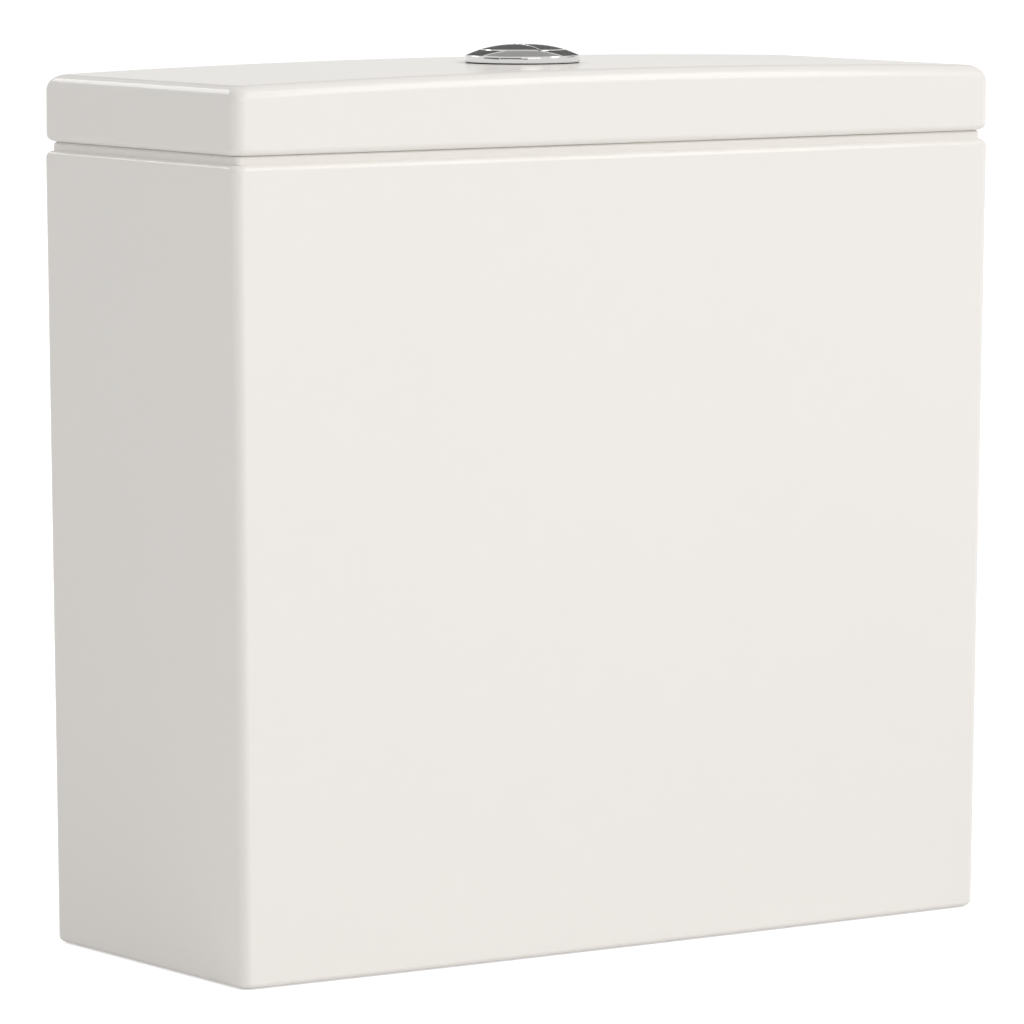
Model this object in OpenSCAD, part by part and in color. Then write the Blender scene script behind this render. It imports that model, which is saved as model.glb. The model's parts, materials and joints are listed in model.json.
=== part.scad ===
// Close-coupled toilet cistern with a two-button flush.
// Millimetres, Z up, the front faces -Y, the rim of the foot stands on Z = 0.

/* [Tank] */
// Outside width over the shoulder and the lid
tank_w = 368; // [355:1:400]
// Outside depth at the middle of the front
tank_d = 146; // [140:1:165]
// Height of the rim that carries the lid
tank_h = 323; // [318:1:360]
// Forward bow of the front between its two ends
front_bow = 2.1; // [0.5:0.1:4]
// Narrowing of each end from the shoulder down to the foot
side_taper = 3.75; // [0:0.25:6]
// Narrowing of the front from the shoulder down to the foot
front_taper = 2.1; // [0:0.1:4]
// Thickness of the ceramic walls
wall = 9; // [8:0.5:11]
// Thickness of the ceramic floor
floor_t = 11; // [9:0.5:14]
// Depth of the hollow under the floor
recess_h = 31; // [30:0.5:40]
// Radius of the upright outside edges
corner_r = 5; // [4.5:0.25:8]
// Radius of the upright edges inside
cavity_corner_r = 12; // [8:0.5:16]
// Fillet between the inside walls and the floor
cavity_r = 8; // [4:0.5:12]
// Fillet in the top of the hollow under the floor
recess_r = 4; // [2:0.5:6]
// Radius of the outside edge of the foot
foot_r = 2.2; // [1:0.1:3.5]
// Radius of the inside edge of the foot
foot_in_r = 1.5; // [0.5:0.1:3]
// Set-back of the neck under the lid
neck_in = 3; // [1.5:0.25:3.5]
// Height of the neck under the lid
neck_h = 5.5; // [3:0.25:9]
// Radius of the shoulder edge below the neck
shoulder_r = 2; // [0.5:0.1:2.5]
// Rounding of the two edges of the rim
rim_r = 0.9; // [0.4:0.1:1.2]

/* [Lid] */
// Height of the lid at its ends
lid_h = 26.5; // [22:0.5:34]
// Rise of the lid from its ends to the middle
lid_crown = 3; // [0.5:0.25:6]
// Thickness of the lid at the middle
lid_t = 11; // [9:0.5:13]
// Radius of the upright lid edges
lid_corner_r = 7.2; // [6.8:0.1:10]
// Radius of the upper lid edge
lid_top_r = 6; // [3:0.25:6.5]
// Radius of the lower lid edge
lid_foot_r = 2; // [0.5:0.1:3]
// Gap between the locating rib and the tank wall
rib_gap = 1.5; // [0.8:0.1:3]
// Thickness of the locating rib
rib_t = 5; // [3:0.5:8]
// Drop of the locating rib below the rim
rib_drop = 6; // [3:0.5:10]
// Fillet inside the lid
lid_in_r = 4; // [2:0.5:6]

/* [Push button] */
// Wall of the chrome bezel round the sleeve flange
bezel_wall = 1.8; // [1.2:0.1:3]
// Height of the upright band of the bezel
bezel_band = 2.4; // [2:0.1:3.5]
// Rise of the dome above the band
dome_h = 5.1; // [4:0.1:6.5]
// Power of the dome curve
dome_power = 2.4; // [2:0.1:3]
// Diameter of the button pair
button_d = 34; // [33:0.25:34.5]
// Gap between the buttons and the bezel
button_gap = 0.4; // [0.3:0.05:0.6]
// Gap between the two buttons
split_gap = 0.7; // [0.5:0.05:1]
// Place of the split across the pair
split_x = -3; // [-3.5:0.1:-2.5]
// Distance from the split to the full-flush rod
full_off = 9.5; // [8.5:0.1:10.5]
// Distance from the split to the half-flush rod
half_off = 7.2; // [7:0.1:7.4]
// Travel of either button
press = 6; // [4:0.25:6.5]
// Least thickness of a button face
button_t = 2.1; // [1.5:0.1:2.5]
// Thickness of a button skirt
button_wall = 1.4; // [1:0.1:1.6]
// Step from the button edge in to its skirt
skirt_step = 0.3; // [0.2:0.05:0.5]
// Length of a button skirt
skirt_h = 9; // [7:0.5:10]
// Gap between the sleeve and the hole in the lid
lid_hole_gap = 1; // [0.5:0.1:1.4]
// Wall of the threaded sleeve
sleeve_wall = 1.7; // [1.3:0.1:2.5]
// Length of the sleeve below the lid top
sleeve_h = 34; // [31:0.5:40]
// Clearance between the skirts and the sleeve
sleeve_gap = 0.6; // [0.4:0.05:0.6]
// Overlap of the sleeve flange on the lid
sleeve_flange_over = 1.5; // [1:0.1:3]
// Thickness of the sleeve flange
sleeve_flange_t = 1.6; // [1:0.1:1.9]
// Gap round the flange inside the bezel
bezel_gap = 0.2; // [0.1:0.05:0.3]
// Thickness of the gasket under the bezel
gasket_t = 0.8; // [0.5:0.1:1.5]
// Step from the bezel edge in to the gasket edge
gasket_step = 0.6; // [0.3:0.1:1]
// Depth of the spring plate below the lid top
plate_drop = 16; // [15:0.5:18]
// Thickness of the spring plate
plate_t = 2.5; // [2:0.25:3]
// Clearance of a rod in the spring plate
rod_gap = 0.7; // [0.4:0.1:1]
// Wall of the boss under a button
boss_wall = 0.8; // [0.6:0.05:0.9]
// Spare travel left under a boss
boss_spare = 1; // [0.5:0.1:2]
// Diameter of a push rod
rod_d = 5; // [4:0.25:5.2]
// Length of rod screwed into the boss
rod_in = 8; // [5:0.5:9]
// Clearance of a screwed or pressed joint
fit_gap = 0.05; // [0.02:0.01:0.1]
// Diameter of the foot of a push rod
rod_foot_d = 8; // [7:0.25:8.5]
// Thickness of the foot of a push rod
rod_foot_t = 2; // [1.5:0.25:3]
// Wall of the stop nut at its corners
stop_nut_wall = 2.5; // [2:0.1:3]
// Height of the stop nut on a rod
stop_nut_h = 5; // [4:0.25:6]
// Rest gap between pieces that touch in use
rest_gap = 0.3; // [0.2:0.05:0.35]
// Wall of the clamp nut under the lid
clamp_nut_wall = 7.5; // [6.5:0.25:10]
// Height of the clamp nut under the lid
clamp_nut_h = 8; // [6:0.5:10]
// Diameter of the grips on the clamp nut
clamp_grip_d = 5; // [3:0.5:6]
// Number of grips on the clamp nut
clamp_grips = 12; // [8:1:16]
// Gap between a spring and its boss
spring_gap = 0.55; // [0.4:0.05:0.6]
// Thickness of the spring wire
wire_d = 0.9; // [0.7:0.05:1]
// Number of spring curls
curls = 6; // [5:1:7]

/* [Flush valve] */
// Place of the outlet, valve and button in depth
axis_y = 2; // [0:0.5:3]
// Outside diameter of the outlet tail
tail_d = 58; // [56:0.5:60]
// Wall of the outlet tail
tail_wall = 5; // [4:0.25:6]
// Height of the tail end above the foot
tail_up = 2; // [1:0.25:4]
// Gap between the tail and the hole in the floor
tail_gap = 3; // [1:0.25:4]
// Reach of the valve flange beyond the tail
flange_over = 13; // [12.5:0.25:15]
// Thickness of the valve flange
flange_t = 4; // [3:0.25:6]
// Thickness of the washer under the flange
seat_washer_t = 3; // [2:0.25:5]
// Step from the flange edge in to the washer edge
seat_washer_step = 1.5; // [0.5:0.25:3]
// Height of the seat lip above the flange
lip_h = 4; // [3:0.25:6]
// Thickness of the seat lip
lip_t = 2.6; // [2:0.1:3]
// Thickness of the rim round the flange
base_rim_t = 1.7; // [1.4:0.1:1.8]
// Reach of the bayonet hooks inside the rim
hook_in = 2; // [1.5:0.1:2.5]
// Thickness of the bayonet hooks
hook_t = 2; // [1.5:0.1:3]
// Angle that each bayonet hook covers
hook_a = 24; // [16:1:30]
// Gap between the tower and the base
tower_gap = 0.4; // [0.3:0.05:0.6]
// Height of the tower foot ring
tower_foot_h = 4.6; // [4:0.1:6]
// Wall thickness of the tower
tower_wall = 2.6; // [2:0.1:3]
// Height of the tower windows
window_h = 31; // [26:0.5:36]
// Angle that each tower leg covers
leg_a = 34; // [26:1:44]
// Height of the tower drum above the floor
drum_h = 109; // [104:1:112]
// Thickness of the drum top
drum_top_t = 3; // [2.5:0.25:4]
// Height of the guide neck on the drum
neck_guide_h = 22; // [14:1:30]
// Wall of the guide neck
neck_guide_t = 3; // [2:0.25:3.5]
// Outside diameter of the overflow tube
tube_d = 32; // [30:0.5:33]
// Wall of the overflow tube
tube_wall = 2; // [1.5:0.1:2.5]
// Sliding clearance of the overflow tube
tube_gap = 0.8; // [0.5:0.05:1]
// Drop of the overflow edge below the bridge
overflow_drop = 18; // [12:1:24]
// Step from the seal edge in to the foot plate
foot_plate_step = 2.5; // [1.5:0.25:4]
// Thickness of the foot plate
foot_plate_t = 3; // [2:0.25:4]
// Overlap of the flush seal outside the seat lip
seal_over = 4.9; // [3.5:0.1:5.5]
// Thickness of the flush seal
seal_t = 3.5; // [2.5:0.25:5]
// Gap between the clamp ring and the outlet bore
seal_clamp_gap = 3; // [2:0.25:4]
// Thickness of the clamp ring under the seal
seal_clamp_t = 4; // [3:0.25:5]
// Height of the rocker pivots above the floor
pivot_h = 197; // [194:1:204]
// Rocker angle either side of level
tilt_half = 14; // [11:0.5:14]
// Lift of the flush seal
lift = 7.5; // [6:0.25:8]
// Thickness of the rocker arms
arm_t = 2.4; // [2:0.1:2.6]
// Radius of a rocker pad
pad_r = 2.5; // [2:0.1:3]
// Radius of a rocker finger
finger_r = 2; // [1.5:0.1:2.2]
// Radius of a rocker hub
hub_r = 4.5; // [4:0.1:5]
// Width of a rocker arm
rocker_w = 9; // [7:0.25:9.5]
// Diameter of a rocker pin
pin_d = 4; // [3:0.1:4.4]
// Running clearance of the hinges
run_gap = 0.06; // [0.03:0.01:0.09]
// End play of a hub between the cheeks
hub_play = 0.5; // [0.3:0.05:0.8]
// Thickness of a bearing cheek
cheek_t = 3; // [2:0.1:3.4]
// Edge of a cheek round its pin
cheek_r = 5.4; // [4.8:0.1:5.6]
// Drop from the pivots to the bridge plate
bridge_drop = 8; // [7.5:0.25:9]
// Thickness of the bridge plate
bridge_t = 4; // [3:0.25:5]
// Width of the bridge plate in depth
bridge_d = 36; // [35:0.5:38]
// Rounding of the bridge plate corners
bridge_r = 5; // [3:0.5:7]
// Overhang of the bridge plate past the columns
bridge_over = 3; // [2:0.25:5]
// Set-back of the ratchet columns from the drum edge
column_in = 6.5; // [6:0.25:8]
// Width of a ratchet column
column_w = 8; // [7:0.25:8.5]
// Depth of a ratchet column
column_d = 12; // [10:0.5:14]
// Width of the tenon on a column
tenon_w = 4.5; // [3.5:0.25:5]
// Depth of the tenon on a column
tenon_d = 8; // [6:0.5:9]
// Height of the tenon above the bridge plate
tenon_up = 4; // [2:0.5:6]
// Height of one ratchet tooth
tooth_h = 3; // [2:0.25:4]
// Depth of one ratchet tooth
tooth_d = 1.2; // [0.8:0.1:1.5]
// Thickness of a lifting bar
bar_t = 3; // [2.5:0.25:4]
// Width of a lifting bar
bar_w = 8; // [6:0.25:9]
// Thickness of a lifting hook
lift_hook_t = 3; // [2.5:0.25:4]
// Gap between a finger and the bar behind it
bar_gap = 1.2; // [0.8:0.1:1.5]
// Reach of a hook over its finger
hook_over = 3; // [2:0.1:3.2]
// Height of the yoke ring
yoke_h = 8; // [6:0.5:10]
// Wall of the yoke ring
yoke_t = 4; // [3:0.25:5]
// Drop of the yoke below the overflow edge
yoke_drop = 8; // [6:0.5:12]
// Gap between the half-flush dog and its collar
dog_gap = 0.8; // [0.5:0.1:1.5]
// Thickness of the dog and of its collar
dog_t = 3; // [2.5:0.25:4]
// Drop of the dog collar below the drum top
collar_drop = 14; // [12:0.5:18]
// Reach of the dog collar beyond the tube
collar_reach = 6; // [5:0.25:7]
// Gap between the dog and the tube
dog_tube_gap = 2; // [1.5:0.1:2.5]
// Gap round the half-flush bar in the drum slot
slot_gap = 0.6; // [0.4:0.05:1]
// Width of the half-flush float
half_float_w = 20; // [18:0.5:24]
// Depth of the half-flush float
half_float_d = 13; // [11:0.5:15]
// Height of the half-flush float
half_float_h = 34; // [28:1:40]
// Wall of the half-flush float
half_float_t = 1.6; // [1.2:0.1:2]
// Wall of the back nut under the floor
back_nut_wall = 9; // [8.5:0.25:12]
// Height of the back nut
back_nut_h = 10; // [8:0.25:10.5]
// Diameter of the grips on the back nut
back_grip_d = 7; // [5:0.5:8]
// Number of grips on the back nut
back_grips = 8; // [6:1:12]
// Wall of the coupling washer
coupling_wall = 17; // [12:0.5:20]
// Height of the coupling washer
coupling_h = 11; // [9:0.25:11.5]
// Edge radius of the coupling washer
coupling_r = 4; // [2:0.25:5]
// Depth of the thread run-out grooves
groove_d = 1; // [0.5:0.1:1.5]
// Width of the thread run-out grooves
groove_w = 1.5; // [1:0.1:2]
// Chamfer on the ends of the tails
chamfer = 0.8; // [0.4:0.1:1]

/* [Fill valve] */
// Place of the inlet across the tank
inlet_x = -120; // [-130:1:-112]
// Place of the inlet in depth
inlet_y = 5; // [0:0.5:10]
// Diameter of the inlet thread
inlet_d = 20.955; // [20:0.005:21.5]
// Wall of the riser
riser_in_wall = 2.5; // [1.75:0.25:3.5]
// Height of the inlet end above the foot
inlet_up = 2; // [1:0.25:4]
// Gap between the inlet and the hole in the floor
inlet_gap = 0.6; // [0.4:0.05:1.5]
// Reach of the inlet flange beyond the thread
inlet_flange_over = 6.5; // [4:0.25:9]
// Thickness of the inlet flange
inlet_flange_t = 4; // [3:0.25:6]
// Thickness of the inlet washer
inlet_washer_t = 3; // [2:0.25:5]
// Wall of the inlet nut at its flats
inlet_nut_wall = 4.5; // [3:0.25:7]
// Height of the inlet nut
inlet_nut_h = 10; // [8:0.25:12]
// Reach of the inlet nut flange beyond its corners
inlet_nut_over = 1.7; // [1:0.1:4]
// Thickness of the inlet nut flange
inlet_nut_flange_t = 2.5; // [1.5:0.25:4]
// Diameter of the riser
riser_d = 17; // [15.5:0.25:17.5]
// Wall of the height sleeve
riser_wall = 2.4; // [2:0.1:3]
// Gap between the riser and its sleeve
riser_gap = 0.2; // [0.1:0.05:0.3]
// Drop from the valve head to the riser top
riser_short = 20; // [10:1:40]
// Space over the float at its highest
float_spare = 20; // [8:1:30]
// Height of the lock ring
lock_h = 12; // [9:0.5:16]
// Wall of the lock ring
lock_t = 4; // [3:0.25:5]
// Number of grips on the lock ring
lock_grips = 12; // [8:1:18]
// Height of the valve head above the floor
head_h = 192; // [188:1:200]
// Reach of the valve head beyond the height sleeve
head_over = 7.4; // [6.5:0.1:9]
// Height of the valve head body
head_t = 20; // [17:0.5:24]
// Wall of the valve head
head_wall = 3; // [2.5:0.25:4]
// Number of water ports in the valve head
head_ports = 6; // [4:1:8]
// Thickness of the diaphragm
diaphragm_t = 2; // [1.5:0.1:3]
// Height of the bonnet
bonnet_t = 8; // [6:0.5:10]
// Overhang of the bonnet past the head
bonnet_over = 1.2; // [0.5:0.1:2]
// Number of lugs on the bonnet
bonnet_lugs = 4; // [2:1:6]
// Height of the pilot nozzle on the bonnet
pilot_h = 3; // [1.5:0.1:4]
// Diameter of the pilot nozzle
pilot_d = 4; // [3:0.25:5]
// Pivot of the float lever from the valve axis
lever_x = 9; // [8:0.25:10]
// Lever arm from the pivot to the float rod
lever_arm = 27; // [26:0.25:28]
// Travel of the float
float_travel = 14; // [10:0.5:14.5]
// Radius of the lever tips
lever_tip_r = 2.4; // [2:0.1:3]
// Thickness of the lever web
lever_t = 2.6; // [2:0.1:2.8]
// Width of the lever
lever_w = 11; // [10:0.25:12]
// Radius of the lever hub
lever_hub_r = 3.2; // [2.8:0.1:3.6]
// Gap between the lever prongs and the float rod
prong_gap = 0.7; // [0.5:0.05:1]
// Diameter of the lever pin
lever_pin_d = 3; // [2.4:0.1:3.4]
// Thickness of a bonnet ear
ear_t = 2.6; // [2:0.1:3.5]
// Side play of the lever between the ears
ear_play = 0.4; // [0.3:0.05:0.8]
// Reach of the float cup beyond the height sleeve
float_reach = 17.4; // [12:0.25:18]
// Height of the float cup
float_h = 45; // [38:1:52]
// Wall of the float cup
float_t = 1.8; // [1.4:0.1:2.4]
// Sliding clearance of the float cup
float_gap = 0.7; // [0.5:0.05:1]
// Rise of the cup wall above the guide foot
float_lift = 5; // [3:0.5:8]
// Diameter of the float rod
float_rod_d = 4; // [3:0.25:4.4]
// Diameter of the collars on the float rod
float_collar_d = 9; // [7.5:0.25:9.5]
// Thickness of the collars on the float rod
float_collar_t = 2.5; // [2:0.25:4]
// Width of the lug on the float cup
lug_w = 10; // [8:0.5:12]
// Height of the lug on the float cup
lug_h = 8; // [6:0.5:10]

/* [Fixings] */
// Distance between the two coupling bolts
bolt_pitch = 150; // [140:1:160]
// Diameter of a coupling bolt
bolt_d = 8; // [7:0.25:10]
// Height of the bolt end above the foot
bolt_up = 2; // [1:0.25:4]
// Gap between a bolt and its hole
bolt_gap = 1.5; // [0.75:0.25:2]
// Depth of the thread relief under the nut of a coupling bolt
bolt_relief = 0.7; // [0.4:0.1:1]
// Height of the thread relief under the nut of a coupling bolt
bolt_relief_h = 1.5; // [1:0.25:3]
// Wall of the bolt heads and nuts at their flats
bolt_nut_wall = 2.5; // [2:0.1:4]
// Height of a bolt head
bolt_head_h = 5.5; // [4:0.25:7]
// Reach of the rubber seal beyond a bolt
bolt_seal_over = 8; // [6:0.25:10]
// Thickness of the rubber seal under a bolt head
bolt_seal_t = 4; // [3:0.25:6]
// Reach of the steel washers beyond a bolt
bolt_washer_over = 6.5; // [5:0.25:8]
// Thickness of the steel washers
bolt_washer_t = 1.6; // [1:0.1:2.5]
// Clearance of a washer on a bolt
washer_gap = 0.3; // [0.2:0.05:0.6]
// Height of a bolt nut
bolt_nut_h = 6.5; // [5:0.25:8]
// Distance between the wall-fixing holes
wall_pitch = 230; // [200:1:250]
// Drop of the wall-fixing holes below the rim
wall_drop = 55; // [45:1:80]
// Diameter of a wall-fixing hole
wall_hole_d = 9; // [6:0.25:11]

/* [Hidden] */
$fn = 64;
arc_n = 8;
bow_n = 10;
fillet_n = 4;
coil_n = 8;
wire_n = 6;
dome_n = 12;
cut = 1;
hooks = 4;
half_w = tank_w / 2;
half_d = tank_d / 2;
shoulder_z = tank_h - neck_h;
floor_z = recess_h + floor_t;
neck_corner_r = corner_r - neck_in;
lid_edge_z = tank_h + lid_h;
lid_top_z = lid_edge_z + lid_crown;
lid_ceil_z = lid_top_z - lid_t;
rib_out = wall + rib_gap;
rib_in = rib_out + rib_t;
rib_z = tank_h - rib_drop;
bezel_z = lid_top_z + gasket_t;
band_z = bezel_z + bezel_band;
button_r = button_d / 2;
open_r = button_r + button_gap;
skirt_r = button_r - skirt_step;
sleeve_in_r = skirt_r + sleeve_gap;
sleeve_r = sleeve_in_r + sleeve_wall;
lid_hole_r = sleeve_r + lid_hole_gap;
sleeve_flange_r = lid_hole_r + sleeve_flange_over;
bezel_r = sleeve_flange_r + bezel_gap + bezel_wall;
button_in_z = band_z + dome(button_r) - button_t;
full_x = split_x + full_off;
half_x = split_x - half_off;
plate_z = lid_top_z - plate_drop;
boss_z = plate_z + press + boss_spare;
rod_r = rod_d / 2;
boss_r = rod_r + boss_wall;
stop_z = plate_z - plate_t - rest_gap;
spring_low = plate_z + wire_d / 2 + rest_gap / 2;
spring_high = button_in_z - wire_d / 2 - rest_gap / 2;
spring_pitch = (spring_high - spring_low) / curls;
spring_r = boss_r + spring_gap + wire_d / 2;
spring_climb = atan2(spring_pitch, 2 * PI * spring_r);
coil_end = curls * coil_n;
base_z = floor_z + seat_washer_t;
base_top_z = base_z + flange_t;
seat_z = base_top_z + lip_h;
tail_r = tail_d / 2;
tail_in_r = tail_r - tail_wall;
flange_r = tail_r + flange_over;
seal_r = tail_in_r + lip_t + seal_over;
tower_r = flange_r - base_rim_t - tower_gap;
drum_r = tower_r - hook_in - tower_gap;
drum_in_r = drum_r - tower_wall;
column_x = drum_r - column_in;
hook_z = base_top_z + tower_foot_h + tower_gap;
drum_z = floor_z + drum_h;
tube_r = tube_d / 2;
tube_in_r = tube_r - tube_wall;
plate_foot_z = seat_z + seal_t;
pivot_z = floor_z + pivot_h;
pin_r = pin_d / 2;
pad_arm = press / 2 / sin(tilt_half);
finger_arm = lift / 2 / sin(tilt_half);
pad_y = pad_arm * cos(tilt_half);
pad_up = pad_arm * sin(tilt_half);
finger_y = pad_y + finger_arm * cos(tilt_half);
finger_z = pivot_z - finger_arm * sin(tilt_half);
pad_top_z = pivot_z + pad_up + pad_r;
rod_foot_z = pad_top_z + rest_gap;
cheek_mid = (full_x + half_x) / 2;
hub_half = (full_x - half_x) / 2 - cheek_t / 2 - hub_play;
cheek_x = [half_x - hub_half - hub_play - cheek_t / 2, cheek_mid, full_x + hub_half + hub_play + cheek_t / 2];
bridge_z = pivot_z - bridge_drop - bridge_t;
bridge_half = column_x + column_w / 2 + bridge_over;
lift_hook_z = finger_z + finger_r + rest_gap;
bar_y = pad_y + finger_arm + finger_r + bar_gap;
overflow_z = bridge_z - overflow_drop;
yoke_z = overflow_z - yoke_drop - yoke_h;
collar_z = drum_z - drum_top_t - collar_drop;
dog_z = collar_z - dog_gap - lift - dog_t;
dog_y = tube_r + dog_tube_gap;
half_float_z = drum_z + rest_gap;
coupling_z = recess_h - back_nut_h - coupling_h;
inlet_r = inlet_d / 2;
inlet_flange_r = inlet_r + inlet_flange_over;
inlet_nut_r = (inlet_r + inlet_nut_wall) / cos(30);
inlet_base_z = floor_z + inlet_washer_t;
inlet_top_z = inlet_base_z + inlet_flange_t;
inlet_nut_z = recess_h - inlet_nut_h;
riser_r = riser_d / 2;
riser_in_r = riser_r - riser_in_wall;
riser_out_r = riser_r + riser_gap + riser_wall;
head_z = floor_z + head_h;
head_r = riser_out_r + head_over;
riser_top_z = head_z - riser_short;
lock_top_z = head_z - float_spare - float_travel - float_h - float_lift - rest_gap;
sleeve_foot_z = lock_top_z - lock_h;
head_top_z = head_z + head_t;
bonnet_top_z = head_top_z + bonnet_t;
lever_half = asin(float_travel / 2 / lever_arm);
lever_z = bonnet_top_z + pilot_h + rest_gap + lever_x * sin(lever_half) + lever_t / 2;
lever_low_x = lever_arm * cos(lever_half);
lever_low_z = float_travel / 2;
float_rod_x = lever_x + (lever_arm + lever_low_x) / 2;
float_rod_r = float_rod_d / 2;
prong_in = float_rod_r + prong_gap;
float_z = lock_top_z + rest_gap;
float_cup_z = float_z + float_lift;
float_top_z = float_cup_z + float_h;
float_r = riser_out_r + float_reach;
float_in_r = riser_out_r + float_gap;
bolt_r = bolt_d / 2;
bolt_hex_r = (bolt_r + bolt_nut_wall) / cos(30);
bolt_head_z = floor_z + bolt_seal_t + bolt_washer_t;
bolt_nut_z = recess_h - bolt_washer_t - bolt_nut_h;
bolt_end_h = bolt_nut_z - bolt_relief_h - bolt_up;
wall_hole_z = tank_h - wall_drop;

glaze = [0.95, 0.94, 0.92];
chrome = [0.75, 0.77, 0.8];
grey = [0.55, 0.58, 0.6];
white = [0.9, 0.9, 0.9];
blue = [0.35, 0.55, 0.75];
rubber = [0.15, 0.15, 0.16];
brass = [0.8, 0.65, 0.35];
steel = [0.6, 0.62, 0.65];

// Curves shared by the ceramic pieces: an outline runs along the front, then back along the rear.
function fall(z) = max(0, 1 - z / shoulder_z);
function bowed(x, hw) = front_bow * (1 - pow(x / hw, 2));
function crowned(x) = lid_crown * (1 - pow(x / half_w, 2));
function line(hw, y, r, s) = concat(
  [for (i = [0:arc_n]) let (a = 90 * i / arc_n) [r - hw - r * cos(a), y + s * (r - r * sin(a))]],
  [for (i = [1:bow_n - 1]) [(r - hw) * (1 - 2 * i / bow_n), y]],
  [for (i = [arc_n:-1:0]) let (a = 90 * i / arc_n) [hw - r + r * cos(a), y + s * (r - r * sin(a))]]
);
function outline(hw, yf, yb, r, full) =
  let (front = line(hw, yf, r, 1), back = line(hw, yb, r, -1))
  concat(
    [for (p = front) [p.x, p.y - bowed(p.x, full)]],
    [for (i = [len(back) - 1:-1:0]) back[i]]
  );

// One ring of the tank at a step [inset, height, corner radius].
function tank_ring(s) =
  let (k = fall(s[1]), full = half_w - side_taper * k, yf = front_bow + front_taper * k - half_d)
  [for (p = outline(full - s[0], yf + s[0], half_d - s[0], s[2], full)) [p.x, p.y, s[1]]];

// One ring of the lid at a step [inset, height, corner radius, share of the crown].
function lid_ring(s) =
  [for (p = outline(half_w - s[0], front_bow - half_d + s[0], half_d - s[0], s[2], half_w))
    [p.x, p.y, s[1] + s[3] * crowned(p.x)]];

// Points of a rounded edge: inset grows from a to a + r while the height goes from z to z + rise.
function edge_out(a, z, r, rise) =
  [for (i = [0:fillet_n]) let (t = 90 * i / fillet_n) [a + r * (1 - cos(t)), z + rise * sin(t)]];
function edge_in(a, z, r, rise) =
  [for (i = [0:fillet_n]) let (t = 90 * i / fillet_n) [a - r * sin(t), z + rise * (1 - cos(t))]];

// Solid through a stack of rings that all have the same number of points.
module loft(rings) {
  n = len(rings[0]);
  h = n / 2;
  t = (len(rings) - 1) * n;
  points = [for (r = rings) each r];
  sides = [
    for (k = [0:len(rings) - 2], i = [0:n - 1])
      let (j = (i + 1) % n, a = k * n, b = a + n)
      each [[a + i, b + i, b + j], [a + i, b + j, a + j]]
  ];
  base = [for (i = [0:h - 2]) each [[i, n - 2 - i, n - 1 - i], [i, i + 1, n - 2 - i]]];
  top = [
    for (i = [0:h - 2])
      each [[t + i, t + n - 1 - i, t + n - 2 - i], [t + i, t + n - 2 - i, t + i + 1]]
  ];
  polyhedron(points = points, faces = concat(base, sides, top));
}

// Plain ring with a round bore.
module ring(ro, ri, h) {
  difference() {
    cylinder(r = ro, h = h);
    translate([0, 0, -cut])
      cylinder(r = ri, h = h + 2 * cut);
  }
}

// Outline of a hand nut: a ring with round grips that stand out of it by a quarter of their width.
module grip_ring(ro, ri, d, count) {
  difference() {
    union() {
      circle(r = ro - d / 4);
      for (i = [0:count - 1])
        rotate([0, 0, 360 * (i + 1 / 2) / count])
          translate([ro - d / 2, 0])
            circle(d = d);
    }
    circle(r = ri);
  }
}

// Places a piece on the valve axis or on the inlet axis.
module on_valve(z) {
  translate([0, axis_y, z])
    children();
}
module on_inlet(z) {
  translate([inlet_x, inlet_y, z])
    children();
}
module at_bolts(z) {
  for (s = [-1, 1])
    translate([s * bolt_pitch / 2, axis_y, z])
      children();
}

// Ceramic tank: one skin from the hollow foot, up the outside, over the rim and down inside.
module tank() {
  recess = [
    for (p = edge_in(wall + recess_r, recess_h, recess_r, -recess_r)) [p[0], p[1], cavity_corner_r]
  ];
  lip = [for (p = edge_in(wall, foot_in_r, foot_in_r, -foot_in_r)) [p[0], p[1], cavity_corner_r]];
  foot = [
    for (i = [0:fillet_n])
      let (a = 90 * i / fillet_n)
      [foot_r * (1 - sin(a)), foot_r * (1 - cos(a)), corner_r - foot_r * (1 - sin(a))]
  ];
  shoulder = [
    for (p = edge_out(0, shoulder_z - shoulder_r, shoulder_r, shoulder_r)) [p[0], p[1], corner_r - p[0]]
  ];
  neck = [
    [neck_in, shoulder_z, neck_corner_r],
    [neck_in, tank_h - rim_r, neck_corner_r],
    [neck_in + rim_r, tank_h, neck_corner_r],
    [wall - rim_r, tank_h, cavity_corner_r],
    [wall, tank_h - rim_r, cavity_corner_r]
  ];
  cavity = [
    for (p = edge_out(wall, floor_z + cavity_r, cavity_r, -cavity_r)) [p[0], p[1], cavity_corner_r]
  ];
  steps = concat(recess, lip, foot, shoulder, neck, cavity);
  color(glaze)
    difference() {
      loft([for (s = steps) tank_ring(s)]);
      on_valve(recess_h - cut)
        cylinder(r = tail_r + tail_gap, h = floor_t + 2 * cut);
      on_inlet(recess_h - cut)
        cylinder(r = inlet_r + inlet_gap, h = floor_t + 2 * cut);
      at_bolts(recess_h - cut)
        cylinder(r = bolt_r + bolt_gap, h = floor_t + 2 * cut);
      for (s = [-1, 1])
        translate([s * wall_pitch / 2, half_d + cut, wall_hole_z])
          rotate([90, 0, 0])
            cylinder(d = wall_hole_d, h = wall + 2 * cut);
    }
}

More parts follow.
